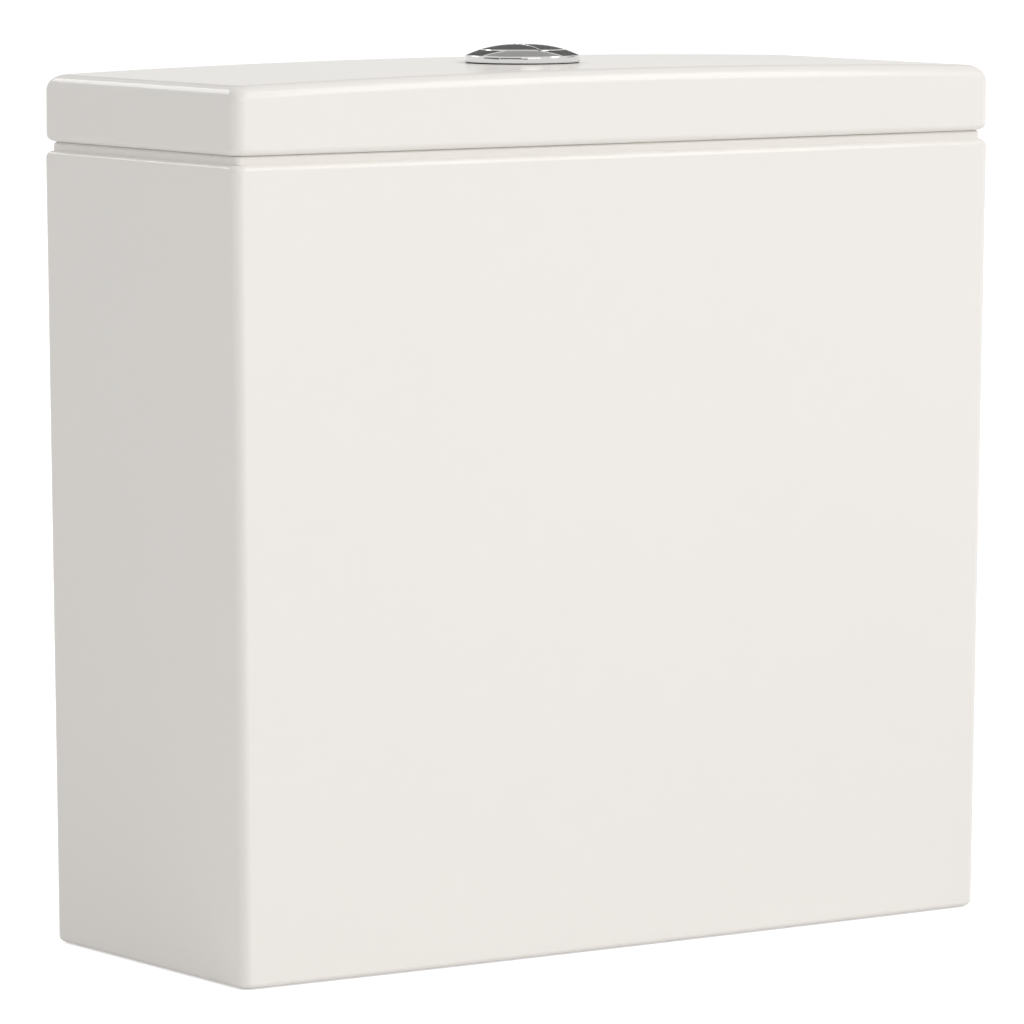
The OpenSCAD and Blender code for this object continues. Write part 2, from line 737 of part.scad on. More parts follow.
// Ceramic lid: one skin from the ceiling inside, round the rib and the edge, to the crowned top.
module lid() {
  ceiling = [
    for (p = edge_in(rib_in + lid_in_r, lid_ceil_z, lid_in_r, -lid_in_r)) [p[0], p[1], cavity_corner_r, 0]
  ];
  rib = [
    [rib_in, rib_z + rim_r, cavity_corner_r, 0],
    [rib_in - rim_r, rib_z, cavity_corner_r, 0],
    [rib_out + rim_r, rib_z, cavity_corner_r, 0],
    [rib_out, rib_z + rim_r, cavity_corner_r, 0],
    [rib_out, tank_h, cavity_corner_r, 0]
  ];
  foot = [
    for (i = [0:fillet_n])
      let (a = 90 * i / fillet_n, d = lid_foot_r * (1 - sin(a)))
      [d, tank_h + lid_foot_r * (1 - cos(a)), lid_corner_r - d, 0]
  ];
  top = [
    for (p = edge_out(0, lid_edge_z - lid_top_r, lid_top_r, lid_top_r)) [p[0], p[1], lid_corner_r - p[0], 1]
  ];
  color(glaze)
    difference() {
      loft([for (s = concat(ceiling, rib, foot, top)) lid_ring(s)]);
      on_valve(lid_ceil_z - cut)
        cylinder(r = lid_hole_r, h = lid_t + 2 * cut);
    }
}

// Height of the button dome above its band at a radius.
function dome(r) = dome_h * (1 - pow(r / bezel_r, dome_power));

module button_gasket() {
  color(rubber)
    on_valve(lid_top_z)
      ring(bezel_r - gasket_step, sleeve_r + bezel_gap, gasket_t);
}

module button_bezel() {
  curve = [for (i = [0:dome_n]) let (r = bezel_r + (open_r - bezel_r) * i / dome_n) [r, band_z + dome(r)]];
  inner = [
    [open_r, bezel_z + sleeve_flange_t],
    [sleeve_flange_r + bezel_gap, bezel_z + sleeve_flange_t],
    [sleeve_flange_r + bezel_gap, bezel_z],
    [bezel_r, bezel_z]
  ];
  color(chrome)
    on_valve(0)
      rotate_extrude()
        polygon(concat(curve, inner));
}

module button_housing() {
  color(grey)
    on_valve(0)
      difference() {
        union() {
          translate([0, 0, lid_top_z - sleeve_h])
            ring(sleeve_r, sleeve_in_r, sleeve_h + gasket_t + sleeve_flange_t);
          translate([0, 0, bezel_z])
            ring(sleeve_flange_r, sleeve_in_r, sleeve_flange_t);
          translate([0, 0, plate_z - plate_t])
            cylinder(r = (sleeve_r + sleeve_in_r) / 2, h = plate_t);
        }
        for (x = [full_x, half_x])
          translate([x, 0, plate_z - plate_t - cut])
            cylinder(r = rod_r + rod_gap, h = plate_t + 2 * cut);
      }
}

module clamp_nut() {
  color(grey)
    on_valve(lid_ceil_z - clamp_nut_h)
      linear_extrude(height = clamp_nut_h)
        grip_ring(sleeve_r + clamp_nut_wall, sleeve_r + fit_gap, clamp_grip_d, clamp_grips);
}

// Keeps the side of a round body that lies on one side of the split; s is 1 for the full side.
module side_of_split(s, off) {
  intersection() {
    children();
    translate([s > 0 ? split_x + off : split_x - off - 2 * bezel_r, -bezel_r, 0])
      cube([2 * bezel_r, 2 * bezel_r, 2 * lid_top_z]);
  }
}

module button(s, x) {
  face = concat(
    [for (i = [0:dome_n]) let (r = button_r * (1 - i / dome_n)) [r, band_z + dome(r)]],
    [[0, button_in_z], [button_r, button_in_z]]
  );
  gap = split_gap / 2;
  color(chrome)
    on_valve(0)
      difference() {
        union() {
          side_of_split(s, gap)
            rotate_extrude()
              polygon(face);
          difference() {
            side_of_split(s, gap)
              translate([0, 0, button_in_z - skirt_h])
                cylinder(r = skirt_r, h = skirt_h);
            side_of_split(s, gap + button_wall)
              translate([0, 0, button_in_z - skirt_h - cut])
                cylinder(r = skirt_r - button_wall, h = skirt_h + cut);
          }
          translate([x, 0, boss_z])
            cylinder(r = boss_r, h = button_in_z - boss_z);
        }
        translate([x, 0, boss_z - cut])
          cylinder(r = rod_r + fit_gap, h = rod_in + cut);
      }
}

module full_button() {
  button(1, full_x);
}
module half_button() {
  button(-1, half_x);
}

// Spring: one unbroken tube of curls whose two ends run straight for one wire thickness.
function coil_dir(a) = [-sin(a) * cos(spring_climb), cos(a) * cos(spring_climb), sin(spring_climb)];
function coil_at(i) = let (a = 360 * i / coil_n)
  [spring_r * cos(a), spring_r * sin(a), spring_low + spring_pitch * i / coil_n];
function coil_ring(c, a) =
  let (n = [cos(a), sin(a), 0], b = cross(coil_dir(a), n))
  [for (j = [0:wire_n - 1]) let (w = 360 * j / wire_n) c + wire_d / 2 * (cos(w) * n + sin(w) * b)];
coil_rings = concat(
  [coil_ring(coil_at(0) - wire_d * [0, cos(spring_climb), 0], 0)],
  [for (i = [0:coil_end]) coil_ring(coil_at(i), 360 * i / coil_n)],
  [coil_ring(coil_at(coil_end) + wire_d * [0, cos(spring_climb), 0], 0)]
);
spring_space = min([
  for (i = [1:coil_end + 1], k = [i + coil_n / 2:1:coil_end + 1], p = coil_rings[i], q = coil_rings[k])
    norm(p - q)
]);

module spring(x) {
  n = wire_n;
  t = (len(coil_rings) - 1) * n;
  sides = [
    for (k = [0:len(coil_rings) - 2], i = [0:n - 1])
      let (j = (i + 1) % n, a = k * n, b = a + n)
      each [[a + i, b + i, b + j], [a + i, b + j, a + j]]
  ];
  ends = [[for (i = [0:n - 1]) i], [for (i = [n - 1:-1:0]) t + i]];
  color(steel)
    on_valve(0)
      translate([x, 0, 0])
        polyhedron(points = [for (r = coil_rings) each r], faces = concat(sides, ends));
}

module full_spring() {
  echo("least space between spring curls", spring_space);
  spring(full_x);
}
module half_spring() {
  spring(half_x);
}

module push_rod(x) {
  color(white)
    on_valve(0)
      translate([x, 0, rod_foot_z]) {
        cylinder(d = rod_foot_d, h = rod_foot_t);
        cylinder(r = rod_r, h = boss_z + rod_in - fit_gap - rod_foot_z);
      }
}
module full_rod() {
  push_rod(full_x);
}
module half_rod() {
  push_rod(half_x);
}

module stop_nut(x) {
  color(grey)
    on_valve(stop_z - stop_nut_h)
      translate([x, 0, 0])
        difference() {
          cylinder(r = rod_r + stop_nut_wall, h = stop_nut_h, $fn = 6);
          translate([0, 0, -cut])
            cylinder(r = rod_r + fit_gap, h = stop_nut_h + 2 * cut);
        }
}
module full_stop_nut() {
  stop_nut(full_x);
}
module half_stop_nut() {
  stop_nut(half_x);
}

// Outlet: threaded tail, flange, seat lip and a rim with bayonet hooks.
module valve_base() {
  profile = [
    [tail_in_r, tail_up],
    [tail_r - chamfer, tail_up],
    [tail_r, tail_up + chamfer],
    [tail_r, coupling_z],
    [tail_r - groove_d, coupling_z],
    [tail_r - groove_d, coupling_z + groove_w],
    [tail_r, coupling_z + groove_w],
    [tail_r, base_z],
    [flange_r, base_z],
    [flange_r, hook_z + hook_t],
    [flange_r - base_rim_t, hook_z + hook_t],
    [flange_r - base_rim_t, base_top_z],
    [tail_in_r + lip_t, base_top_z],
    [tail_in_r + lip_t, seat_z],
    [tail_in_r, seat_z]
  ];
  color(white)
    on_valve(0) {
      rotate_extrude()
        polygon(profile);
      for (i = [0:hooks - 1])
        rotate([0, 0, 360 * i / hooks - hook_a / 2])
          rotate_extrude(angle = hook_a)
            translate([flange_r - base_rim_t - hook_in, hook_z])
              square([hook_in + base_rim_t / 2, hook_t]);
    }
}

module seat_washer() {
  color(rubber)
    on_valve(floor_z)
      ring(flange_r - seat_washer_step, tail_r + washer_gap, seat_washer_t);
}

module back_nut() {
  color(white)
    on_valve(recess_h - back_nut_h)
      linear_extrude(height = back_nut_h)
        grip_ring(tail_r + back_nut_wall, tail_r + fit_gap, back_grip_d, back_grips);
}

module coupling_washer() {
  ro = tail_r + coupling_wall;
  color(rubber)
    on_valve(coupling_z)
      rotate_extrude() {
        translate([tail_r + fit_gap, 0])
          square([ro - coupling_r - tail_r - fit_gap, coupling_h]);
        translate([ro - 2 * coupling_r, coupling_r])
          square([2 * coupling_r, coupling_h - coupling_r]);
        translate([ro - coupling_r, coupling_r])
          circle(r = coupling_r);
      }
}

// Tower: foot ring, drum with windows, guide neck and two ratchet columns.
module ratchet_column() {
  low = drum_z - drum_top_t;
  count = ceil((bridge_z - drum_z) / tooth_h) - 1;
  teeth = [for (i = [0:count - 1]) each [
    [column_w / 2, drum_z + i * tooth_h],
    [column_w / 2 - tooth_d, drum_z + (i + 1) * tooth_h]
  ]];
  outline = concat(
    [[-column_w / 2, low], [column_w / 2, low]],
    teeth,
    [[column_w / 2 - tooth_d, bridge_z], [-column_w / 2, bridge_z]]
  );
  translate([0, column_d / 2, 0])
    rotate([90, 0, 0])
      linear_extrude(height = column_d)
        polygon(outline);
  translate([-tenon_w / 2, -tenon_d / 2, bridge_z - cut])
    cube([tenon_w, tenon_d, bridge_t + tenon_up + cut]);
}

module valve_tower() {
  window_z = base_top_z + tower_foot_h + tower_wall;
  quarter = 360 / hooks;
  window_a = quarter - leg_a;
  guide_r = tube_r + tube_gap;
  color(blue)
    on_valve(0)
      difference() {
        union() {
          translate([0, 0, base_top_z])
            ring(tower_r, drum_in_r, tower_foot_h);
          translate([0, 0, base_top_z])
            ring(drum_r, drum_in_r, drum_z - base_top_z);
          translate([0, 0, drum_z - drum_top_t])
            cylinder(r = drum_r, h = drum_top_t);
          translate([0, 0, drum_z - drum_top_t])
            cylinder(r = guide_r + neck_guide_t, h = drum_top_t + neck_guide_h);
          translate([column_x, 0, 0])
            ratchet_column();
          translate([-column_x, 0, 0])
            mirror([1, 0, 0])
              ratchet_column();
        }
        translate([0, 0, drum_z - drum_top_t - cut])
          cylinder(r = guide_r, h = drum_top_t + neck_guide_h + 2 * cut);
        translate([half_x - bar_w / 2 - slot_gap, -drum_r - cut, dog_z - slot_gap])
          cube([bar_w + 2 * slot_gap, drum_r + cut - bar_y + slot_gap, drum_z - dog_z + slot_gap + cut]);
        for (i = [0:hooks - 1]) {
          rotate([0, 0, i * quarter - window_a / 2])
            rotate_extrude(angle = window_a)
              translate([drum_in_r - cut, window_z])
                square([tower_wall + 2 * cut, window_h]);
          rotate([0, 0, (i + 1 / 2) * quarter - hook_a])
            rotate_extrude(angle = 2 * hook_a)
              translate([drum_r + tower_gap / 2, base_top_z - cut])
                square([2 * hook_in, tower_foot_h + 2 * cut]);
        }
      }
}

// Bridge: plate on the two columns with three cheeks that carry the rocker pins.
module cheek() {
  foot = pad_y + cheek_r;
  translate([-cheek_t / 2, 0, 0])
    rotate([90, 0, 90])
      linear_extrude(height = cheek_t)
        difference() {
          union() {
            translate([-foot, bridge_z + bridge_t / 2])
              square([2 * foot, pivot_z - bridge_z - bridge_t / 2]);
            for (y = [-pad_y, pad_y])
              translate([y, pivot_z])
                circle(r = cheek_r);
          }
          for (y = [-pad_y, pad_y])
            translate([y, pivot_z])
              circle(r = pin_r + fit_gap);
        }
}

module tower_bridge() {
  color(blue)
    on_valve(0)
      difference() {
        union() {
          translate([0, 0, bridge_z])
            linear_extrude(height = bridge_t)
              union() {
                square([2 * bridge_half - 2 * bridge_r, bridge_d], center = true);
                square([2 * bridge_half, bridge_d - 2 * bridge_r], center = true);
                for (x = [-1, 1], y = [-1, 1])
                  translate([x * (bridge_half - bridge_r), y * (bridge_d / 2 - bridge_r)])
                    circle(r = bridge_r);
              }
          for (x = cheek_x)
            translate([x, 0, 0])
              cheek();
        }
        for (s = [-1, 1])
          translate([s * column_x, 0, bridge_z + bridge_t / 2])
            cube([tenon_w + 2 * slot_gap, tenon_d + 2 * slot_gap, bridge_t + 2 * cut], center = true);
      }
}

module rocker_pins() {
  from = cheek_x[0] - cheek_t;
  color(steel)
    on_valve(0)
      for (s = [-1, 1])
        translate([from, s * pad_y, pivot_z])
          rotate([0, 90, 0])
            cylinder(r = pin_r, h = cheek_x[2] + cheek_t - from);
}

// Rocker: a hub on its pin, a pad under the push rod and a finger under the lifting hook.
module bar_between(p, q, w) {
  d = (q - p) / norm(q - p);
  s = [-d.y, d.x] * w / 2;
  polygon([p - s, q - s, q + s, p + s]);
}

module rocker(x, s) {
  hub = [pad_y, pivot_z];
  pad = [0, pivot_z + pad_up];
  finger = [finger_y, finger_z];
  color(white)
    on_valve(0)
      mirror([0, s > 0 ? 0 : 1, 0])
        difference() {
          union() {
            translate([x - rocker_w / 2, 0, 0])
              rotate([90, 0, 90])
                linear_extrude(height = rocker_w) {
                  bar_between(pad, finger, arm_t);
                  translate(pad)
                    circle(r = pad_r);
                  translate(finger)
                    circle(r = finger_r);
                }
            translate([x - hub_half, pad_y, pivot_z])
              rotate([0, 90, 0])
                cylinder(r = hub_r, h = 2 * hub_half);
          }
          translate([x - hub_half - cut, pad_y, pivot_z])
            rotate([0, 90, 0])
              cylinder(r = pin_r + run_gap, h = 2 * hub_half + 2 * cut);
        }
}
module full_rocker() {
  rocker(full_x, 1);
}
module half_rocker() {
  rocker(half_x, -1);
}

// Moving valve: overflow tube with its foot plate and the collar for the half-flush dog.
module overflow_tube() {
  low = seat_z - seal_clamp_t;
  color(white)
    on_valve(0)
      difference() {
        union() {
          translate([0, 0, low])
            cylinder(r = tube_r, h = overflow_z - low);
          translate([0, 0, plate_foot_z])
            cylinder(r = seal_r - foot_plate_step, h = foot_plate_t);
          translate([0, 0, collar_z])
            cylinder(r = tube_r + collar_reach, h = dog_t);
        }
        translate([0, 0, low - cut])
          cylinder(r = tube_in_r, h = overflow_z - low + 2 * cut);
      }
}

module lift_yoke() {
  outer = tube_r + yoke_t;
  color(grey)
    on_valve(0) {
      difference() {
        union() {
          translate([0, 0, yoke_z])
            cylinder(r = outer, h = yoke_h);
          translate([full_x - bar_w / 2, 0, yoke_z])
            cube([bar_w, bar_y + bar_t, yoke_h]);
        }
        translate([0, 0, yoke_z - cut])
          cylinder(r = tube_r + fit_gap, h = yoke_h + 2 * cut);
      }
      translate([full_x - bar_w / 2, bar_y, yoke_z])
        cube([bar_w, bar_t, lift_hook_z + lift_hook_t - yoke_z]);
      translate([full_x - rocker_w / 2, finger_y - hook_over, lift_hook_z])
        cube([rocker_w, bar_y + bar_t - finger_y + hook_over, lift_hook_t]);
    }
}

module flush_seal() {
  color(rubber)
    on_valve(seat_z)
      ring(seal_r, tube_r + fit_gap, seal_t);
}

module seal_clamp() {
  color(grey)
    on_valve(seat_z - seal_clamp_t)
      ring(tail_in_r - seal_clamp_gap, tube_r + fit_gap, seal_clamp_t);
}

// Half flush: a bar with its own hook, a dog under the tube collar and a small float.
module half_lift_bar() {
  color(grey)
    on_valve(0)
      translate([half_x, 0, 0]) {
        translate([-bar_w / 2, -bar_y - bar_t, dog_z])
          cube([bar_w, bar_t, lift_hook_z + lift_hook_t - dog_z]);
        translate([-rocker_w / 2, -bar_y - bar_t, lift_hook_z])
          cube([rocker_w, bar_y + bar_t - finger_y + hook_over, lift_hook_t]);
        translate([-bar_w / 2, -bar_y - bar_t, dog_z])
          cube([bar_w, bar_y + bar_t - dog_y, dog_t]);
      }
}

module half_float() {
  color(white)
    on_valve(half_float_z)
      translate([half_x - half_float_w / 2, -bar_y - bar_t - half_float_d, 0])
        difference() {
          cube([half_float_w, half_float_d, half_float_h]);
          translate([half_float_t, half_float_t, -cut])
            cube([
              half_float_w - 2 * half_float_t,
              half_float_d - 2 * half_float_t,
              half_float_h - half_float_t + cut
            ]);
        }
}

// Inlet: threaded tail, flange and riser with one straight bore.
module inlet_shank() {
  profile = [
    [riser_in_r, inlet_up],
    [inlet_r - chamfer, inlet_up],
    [inlet_r, inlet_up + chamfer],
    [inlet_r, inlet_nut_z],
    [inlet_r - groove_d, inlet_nut_z],
    [inlet_r - groove_d, inlet_nut_z + groove_w],
    [inlet_r, inlet_nut_z + groove_w],
    [inlet_r, inlet_base_z],
    [inlet_flange_r, inlet_base_z],
    [inlet_flange_r, inlet_top_z],
    [riser_r, inlet_top_z],
    [riser_r, riser_top_z],
    [riser_in_r, riser_top_z]
  ];
  color(white)
    on_inlet(0)
      rotate_extrude()
        polygon(profile);
}

module inlet_washer() {
  color(rubber)
    on_inlet(floor_z)
      ring(inlet_flange_r, inlet_r + washer_gap, inlet_washer_t);
}

module inlet_nut() {
  color(white)
    on_inlet(inlet_nut_z)
      difference() {
        union() {
          cylinder(r = inlet_nut_r, h = inlet_nut_h, $fn = 6);
          translate([0, 0, inlet_nut_h - inlet_nut_flange_t])
            cylinder(r = inlet_nut_r + inlet_nut_over, h = inlet_nut_flange_t);
        }
        translate([0, 0, -cut])
          cylinder(r = inlet_r + fit_gap, h = inlet_nut_h + 2 * cut);
      }
}

module riser_sleeve() {
  color(grey)
    on_inlet(sleeve_foot_z)
      ring(riser_out_r, riser_r + riser_gap, head_z - sleeve_foot_z);
}

module lock_ring() {
  color(blue)
    on_inlet(sleeve_foot_z)
      linear_extrude(height = lock_h)
        grip_ring(riser_out_r + lock_t, riser_out_r + fit_gap, lock_t / 2, lock_grips);
}

// Valve head with side ports, closed by a diaphragm and a bonnet.
module valve_head() {
  color(white)
    on_inlet(head_z)
      difference() {
        cylinder(r = head_r, h = head_t);
        translate([0, 0, head_wall])
          cylinder(r = head_r - 2 * head_wall, h = head_t);
        translate([0, 0, head_t - diaphragm_t])
          cylinder(r = head_r - head_wall, h = diaphragm_t + cut);
        translate([0, 0, -cut])
          cylinder(r = riser_in_r, h = head_wall + 2 * cut);
        for (i = [0:head_ports - 1])
          rotate([0, 0, 360 * (i + 1 / 2) / head_ports])
            translate([head_r - 3 * head_wall, -head_wall, 2 * head_wall])
              cube([4 * head_wall, 2 * head_wall, 2 * head_wall]);
      }
}

module diaphragm() {
  color(rubber)
    on_inlet(head_top_z - diaphragm_t)
      cylinder(r = head_r - head_wall - fit_gap, h = diaphragm_t);
}

module valve_bonnet() {
  ear_in = lever_w / 2 + ear_play;
  color(blue)
    on_inlet(0)
      difference() {
        union() {
          translate([0, 0, head_top_z])
            cylinder(r = head_r + bonnet_over, h = bonnet_t);
          translate([0, 0, bonnet_top_z - cut])
            cylinder(d = pilot_d, h = pilot_h + cut);
          for (s = [-1, 1])
            translate([lever_x, s * (ear_in + ear_t / 2) + ear_t / 2, 0])
              rotate([90, 0, 0])
                linear_extrude(height = ear_t)
                  union() {
                    translate([-lever_hub_r, bonnet_top_z - cut])
                      square([2 * lever_hub_r, lever_z - bonnet_top_z + cut]);
                    translate([0, lever_z])
                      circle(r = lever_hub_r);
                  }
          for (i = [0:bonnet_lugs - 1])
            rotate([0, 0, 360 * (i + 1 / 2) / bonnet_lugs])
              translate([head_r + bonnet_over, 0, head_top_z])
                cylinder(r = 2 * bonnet_over, h = bonnet_t / 2);
        }
        translate([lever_x, 2 * ear_in + 2 * ear_t, lever_z])
          rotate([90, 0, 0])
            cylinder(d = lever_pin_d + 2 * fit_gap, h = 4 * ear_in + 4 * ear_t);
      }
}

module lever_pin() {
  reach = lever_w / 2 + ear_play + ear_t + ear_play;
  color(brass)
    on_inlet(lever_z)
      translate([lever_x, reach, 0])
        rotate([90, 0, 0])
          cylinder(d = lever_pin_d, h = 2 * reach);
}

// Float lever: pad over the pilot on one side of the pin, two prongs round the float rod on the other.
module float_lever() {
  hub = [lever_x, lever_z];
  tip = [lever_x + lever_low_x, lever_z - lever_low_z];
  pad = [lever_x - lever_x * cos(lever_half), lever_z + lever_x * sin(lever_half)];
  color(white)
    on_inlet(0)
      difference() {
        translate([0, lever_w / 2, 0])
          rotate([90, 0, 0])
            linear_extrude(height = lever_w) {
              bar_between(pad, hub, lever_t);
              bar_between(hub, tip, lever_t);
              translate(pad)
                circle(d = lever_t);
              translate(hub)
                circle(r = lever_hub_r);
              translate(tip)
                circle(r = lever_tip_r);
            }
        translate([lever_x, lever_w, lever_z])
          rotate([90, 0, 0])
            cylinder(r = lever_pin_d / 2 + run_gap, h = 2 * lever_w);
        translate([float_rod_x - 2 * float_rod_d, -prong_in, lever_z - lever_arm])
          cube([4 * float_rod_d, 2 * prong_in, 2 * lever_arm]);
      }
}

module float_cup() {
  lug_z = float_top_z - lug_h;
  profile = [
    [float_in_r, float_z],
    [float_in_r + float_t, float_z],
    [float_in_r + float_t, float_top_z - float_t],
    [float_r - float_t, float_top_z - float_t],
    [float_r - float_t, float_cup_z],
    [float_r, float_cup_z],
    [float_r, float_top_z],
    [float_in_r, float_top_z]
  ];
  color(blue)
    on_inlet(0)
      difference() {
        union() {
          rotate_extrude()
            polygon(profile);
          difference() {
            translate([0, -lug_w / 2, lug_z])
              cube([float_rod_x, lug_w, lug_h]);
            translate([0, 0, lug_z - cut])
              cylinder(r = float_r - float_t, h = lug_h + 2 * cut);
          }
          translate([float_rod_x, 0, lug_z])
            cylinder(d = lug_w, h = lug_h);
        }
        translate([float_rod_x, 0, lug_z - cut])
          cylinder(r = float_rod_r + fit_gap, h = lug_h + 2 * cut);
      }
}

module float_rod() {
  low = float_top_z - lug_h;
  tip_z = lever_z - lever_low_z;
  step = lever_tip_r + rest_gap;
  color(brass)
    on_inlet(0)
      translate([float_rod_x, 0, 0]) {
        translate([0, 0, low])
          cylinder(r = float_rod_r, h = tip_z + step + 2 * float_collar_t - low);
        translate([0, 0, tip_z + step])
          cylinder(d = float_collar_d, h = float_collar_t);
        translate([0, 0, tip_z - step - float_collar_t])
          cylinder(d = float_collar_d, h = float_collar_t);
      }
}

// Coupling bolts with their seals, washers and nuts.
module coupling_bolts() {
  color(steel)
    at_bolts(0) {
      translate([0, 0, bolt_up])
        cylinder(r = bolt_r, h = bolt_end_h);
      translate([0, 0, bolt_nut_z - bolt_relief_h - cut])
        cylinder(r = bolt_r - bolt_relief, h = bolt_relief_h + 2 * cut);
      translate([0, 0, bolt_nut_z])
        cylinder(r = bolt_r, h = bolt_head_z + cut - bolt_nut_z);
      translate([0, 0, bolt_head_z])
        cylinder(r = bolt_hex_r, h = bolt_head_h, $fn = 6);
    }
}

module bolt_seals() {
  color(rubber)
    at_bolts(floor_z)
      ring(bolt_r + bolt_seal_over, bolt_r + fit_gap, bolt_seal_t);
}

module bolt_top_washers() {
  color(steel)
    at_bolts(floor_z + bolt_seal_t)
      ring(bolt_r + bolt_washer_over, bolt_r + washer_gap, bolt_washer_t);
}

module bolt_low_washers() {
  color(steel)
    at_bolts(recess_h - bolt_washer_t)
      ring(bolt_r + bolt_washer_over, bolt_r + washer_gap, bolt_washer_t);
}

module bolt_nuts() {
  color(steel)
    at_bolts(bolt_nut_z)
      difference() {
        cylinder(r = bolt_hex_r, h = bolt_nut_h, $fn = 6);
        translate([0, 0, -cut])
          cylinder(r = bolt_r + fit_gap, h = bolt_nut_h + 2 * cut);
      }
}

tank();
lid();
button_gasket();
button_bezel();
button_housing();
clamp_nut();
full_button();
half_button();
full_spring();
half_spring();
full_rod();
half_rod();
full_stop_nut();
half_stop_nut();
valve_base();
seat_washer();
back_nut();
coupling_washer();
valve_tower();
tower_bridge();
rocker_pins();
full_rocker();
half_rocker();
overflow_tube();
lift_yoke();
flush_seal();
seal_clamp();
half_lift_bar();
half_float();
inlet_shank();
inlet_washer();
inlet_nut();
riser_sleeve();
lock_ring();
valve_head();
diaphragm();
valve_bonnet();
lever_pin();
float_lever();
float_cup();
float_rod();
coupling_bolts();
bolt_seals();
bolt_top_washers();
bolt_low_washers();
bolt_nuts();
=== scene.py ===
import json
import math

import bmesh
import bpy
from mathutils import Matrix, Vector


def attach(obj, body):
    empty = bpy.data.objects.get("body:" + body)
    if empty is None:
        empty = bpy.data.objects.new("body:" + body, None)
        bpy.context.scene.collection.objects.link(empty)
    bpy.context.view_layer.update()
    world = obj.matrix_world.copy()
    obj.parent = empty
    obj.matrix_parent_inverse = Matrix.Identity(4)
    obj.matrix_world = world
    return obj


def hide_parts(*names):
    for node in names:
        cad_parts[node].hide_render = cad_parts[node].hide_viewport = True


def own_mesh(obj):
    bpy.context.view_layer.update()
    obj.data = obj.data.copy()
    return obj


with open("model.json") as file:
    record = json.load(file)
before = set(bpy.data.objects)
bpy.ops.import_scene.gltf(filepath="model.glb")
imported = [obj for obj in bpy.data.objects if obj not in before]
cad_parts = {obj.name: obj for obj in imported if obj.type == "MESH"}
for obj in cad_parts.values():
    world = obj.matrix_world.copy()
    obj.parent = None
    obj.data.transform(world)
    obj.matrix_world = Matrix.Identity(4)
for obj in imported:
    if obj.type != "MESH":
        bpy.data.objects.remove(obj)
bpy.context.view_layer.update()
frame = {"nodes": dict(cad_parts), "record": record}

# Lengths are in metres, in the frame of the solids. MM turns a millimetre value into one.
MM = 0.001
# points closer together than this are in one place
SAME_PLACE = 0.002 * MM
# faces that turn by less than this many degrees are one flat face
FLAT_WITHIN = 0.5

# Ceramic tank
HALF_W = 184 * MM
HALF_D = 73 * MM
BOW = 2.1 * MM
SIDE_TAPER = 3.75 * MM
FRONT_TAPER = 2.1 * MM
FRONT_Y = BOW - HALF_D
WALL = 9 * MM
RECESS_Z = 31 * MM
FLOOR_Z = 42 * MM
SHOULDER_Z = 319.4 * MM
RIM_Z = 323 * MM
NECK_IN = 3 * MM
TANK_CORNER = 4.5 * MM
NECK_CORNER = 2 * MM
INNER_CORNER = 12 * MM
FOOT_EDGE = 2.2 * MM
FOOT_INNER_EDGE = 1.5 * MM
SHOULDER_EDGE = 2.7 * MM
NECK_EDGE = 1.5 * MM
RIM_EDGE = 0.9 * MM
CAVITY_FILLET = 8 * MM
RECESS_FILLET = 4 * MM
COLUMNS = [x * MM for x in range(-150, 151, 25)]
CORNER_REACH = 20 * MM
# unglazed china starts this far in from the outside, up to a little above the hollow's ceiling
BARE_FROM = 4 * MM
BARE_ABOVE = 0.5 * MM
# share of large faces in the shading of the ceramic's small rounds
CERAMIC_WEIGHT = 95

# Ceramic lid
LID_EDGE_Z = 349.5 * MM
LID_CROWN = 3 * MM
LID_CEILING_Z = 341.5 * MM
LID_CORNER = 5.2 * MM
LID_TOP_EDGE = 6 * MM
LID_FOOT_EDGE = 2.8 * MM
RIB_OUT = 10.5 * MM
RIB_T = 5 * MM
RIB_DROP = 6 * MM
LID_FILLET = 4 * MM

# Fittings: axes and holes
VALVE_XY = (0.0, 2 * MM)
INLET_XY = (-120 * MM, 5 * MM)
BOLT_X = 75 * MM
WALL_HOLE_X = 115 * MM
WALL_HOLE_Z = 268 * MM
OUTLET_HOLE_R = 32 * MM
INLET_HOLE_R = 11.0775 * MM
BOLT_HOLE_R = 5.5 * MM
WALL_HOLE_R = 4.5 * MM
LID_HOLE_R = 20 * MM
LID_DRILL = 60 * MM

# Push button
BEZEL_R = 23.5 * MM
BEZEL_Z = 353.3 * MM
SKIRT_Z = 352.9 * MM
SKIRT_T = 0.35 * MM
BAND_Z = 355.4 * MM
DOME_H = 4.75 * MM
DOME_POWER = 2.4
OPENING_R = 17.4 * MM
BUTTON_R = 17 * MM
LIP = 0.5 * MM
BAND_ROUND = 0.3 * MM
SKIRT_ROUND = 0.15 * MM
FLANGE_SEAT_R = 21.7 * MM
FLANGE_SEAT_Z = BEZEL_Z + 1.6 * MM
CAP_SKIRT_R = 16.7 * MM
CAP_SKIRT_IN = 15.3 * MM
CAP_SKIRT_H = 9 * MM
CHROME_SIDES = 160
SPLIT_X = -3 * MM
SPLIT_GAP = 0.7 * MM
# the rounded edge along the split, as steps in from it and drops below the dome
SPLIT_ROUND = [(0.36 * MM, 0), (0.14 * MM, 0.05 * MM), (0, 0.2 * MM)]
# points closer to a cut than this lie on it
HAIR = 0.005 * MM
BUTTON_UNDER_Z = 356.36 * MM
FULL_X = 6.5 * MM
HALF_X = -10.2 * MM
SPRING_R = 4.3 * MM
WIRE_R = 0.45 * MM
SPRING_CURLS = 6
SPRING_LOW_Z = 336.65 * MM
SPRING_TOP_Z = 356.2 * MM


# Modelling helpers

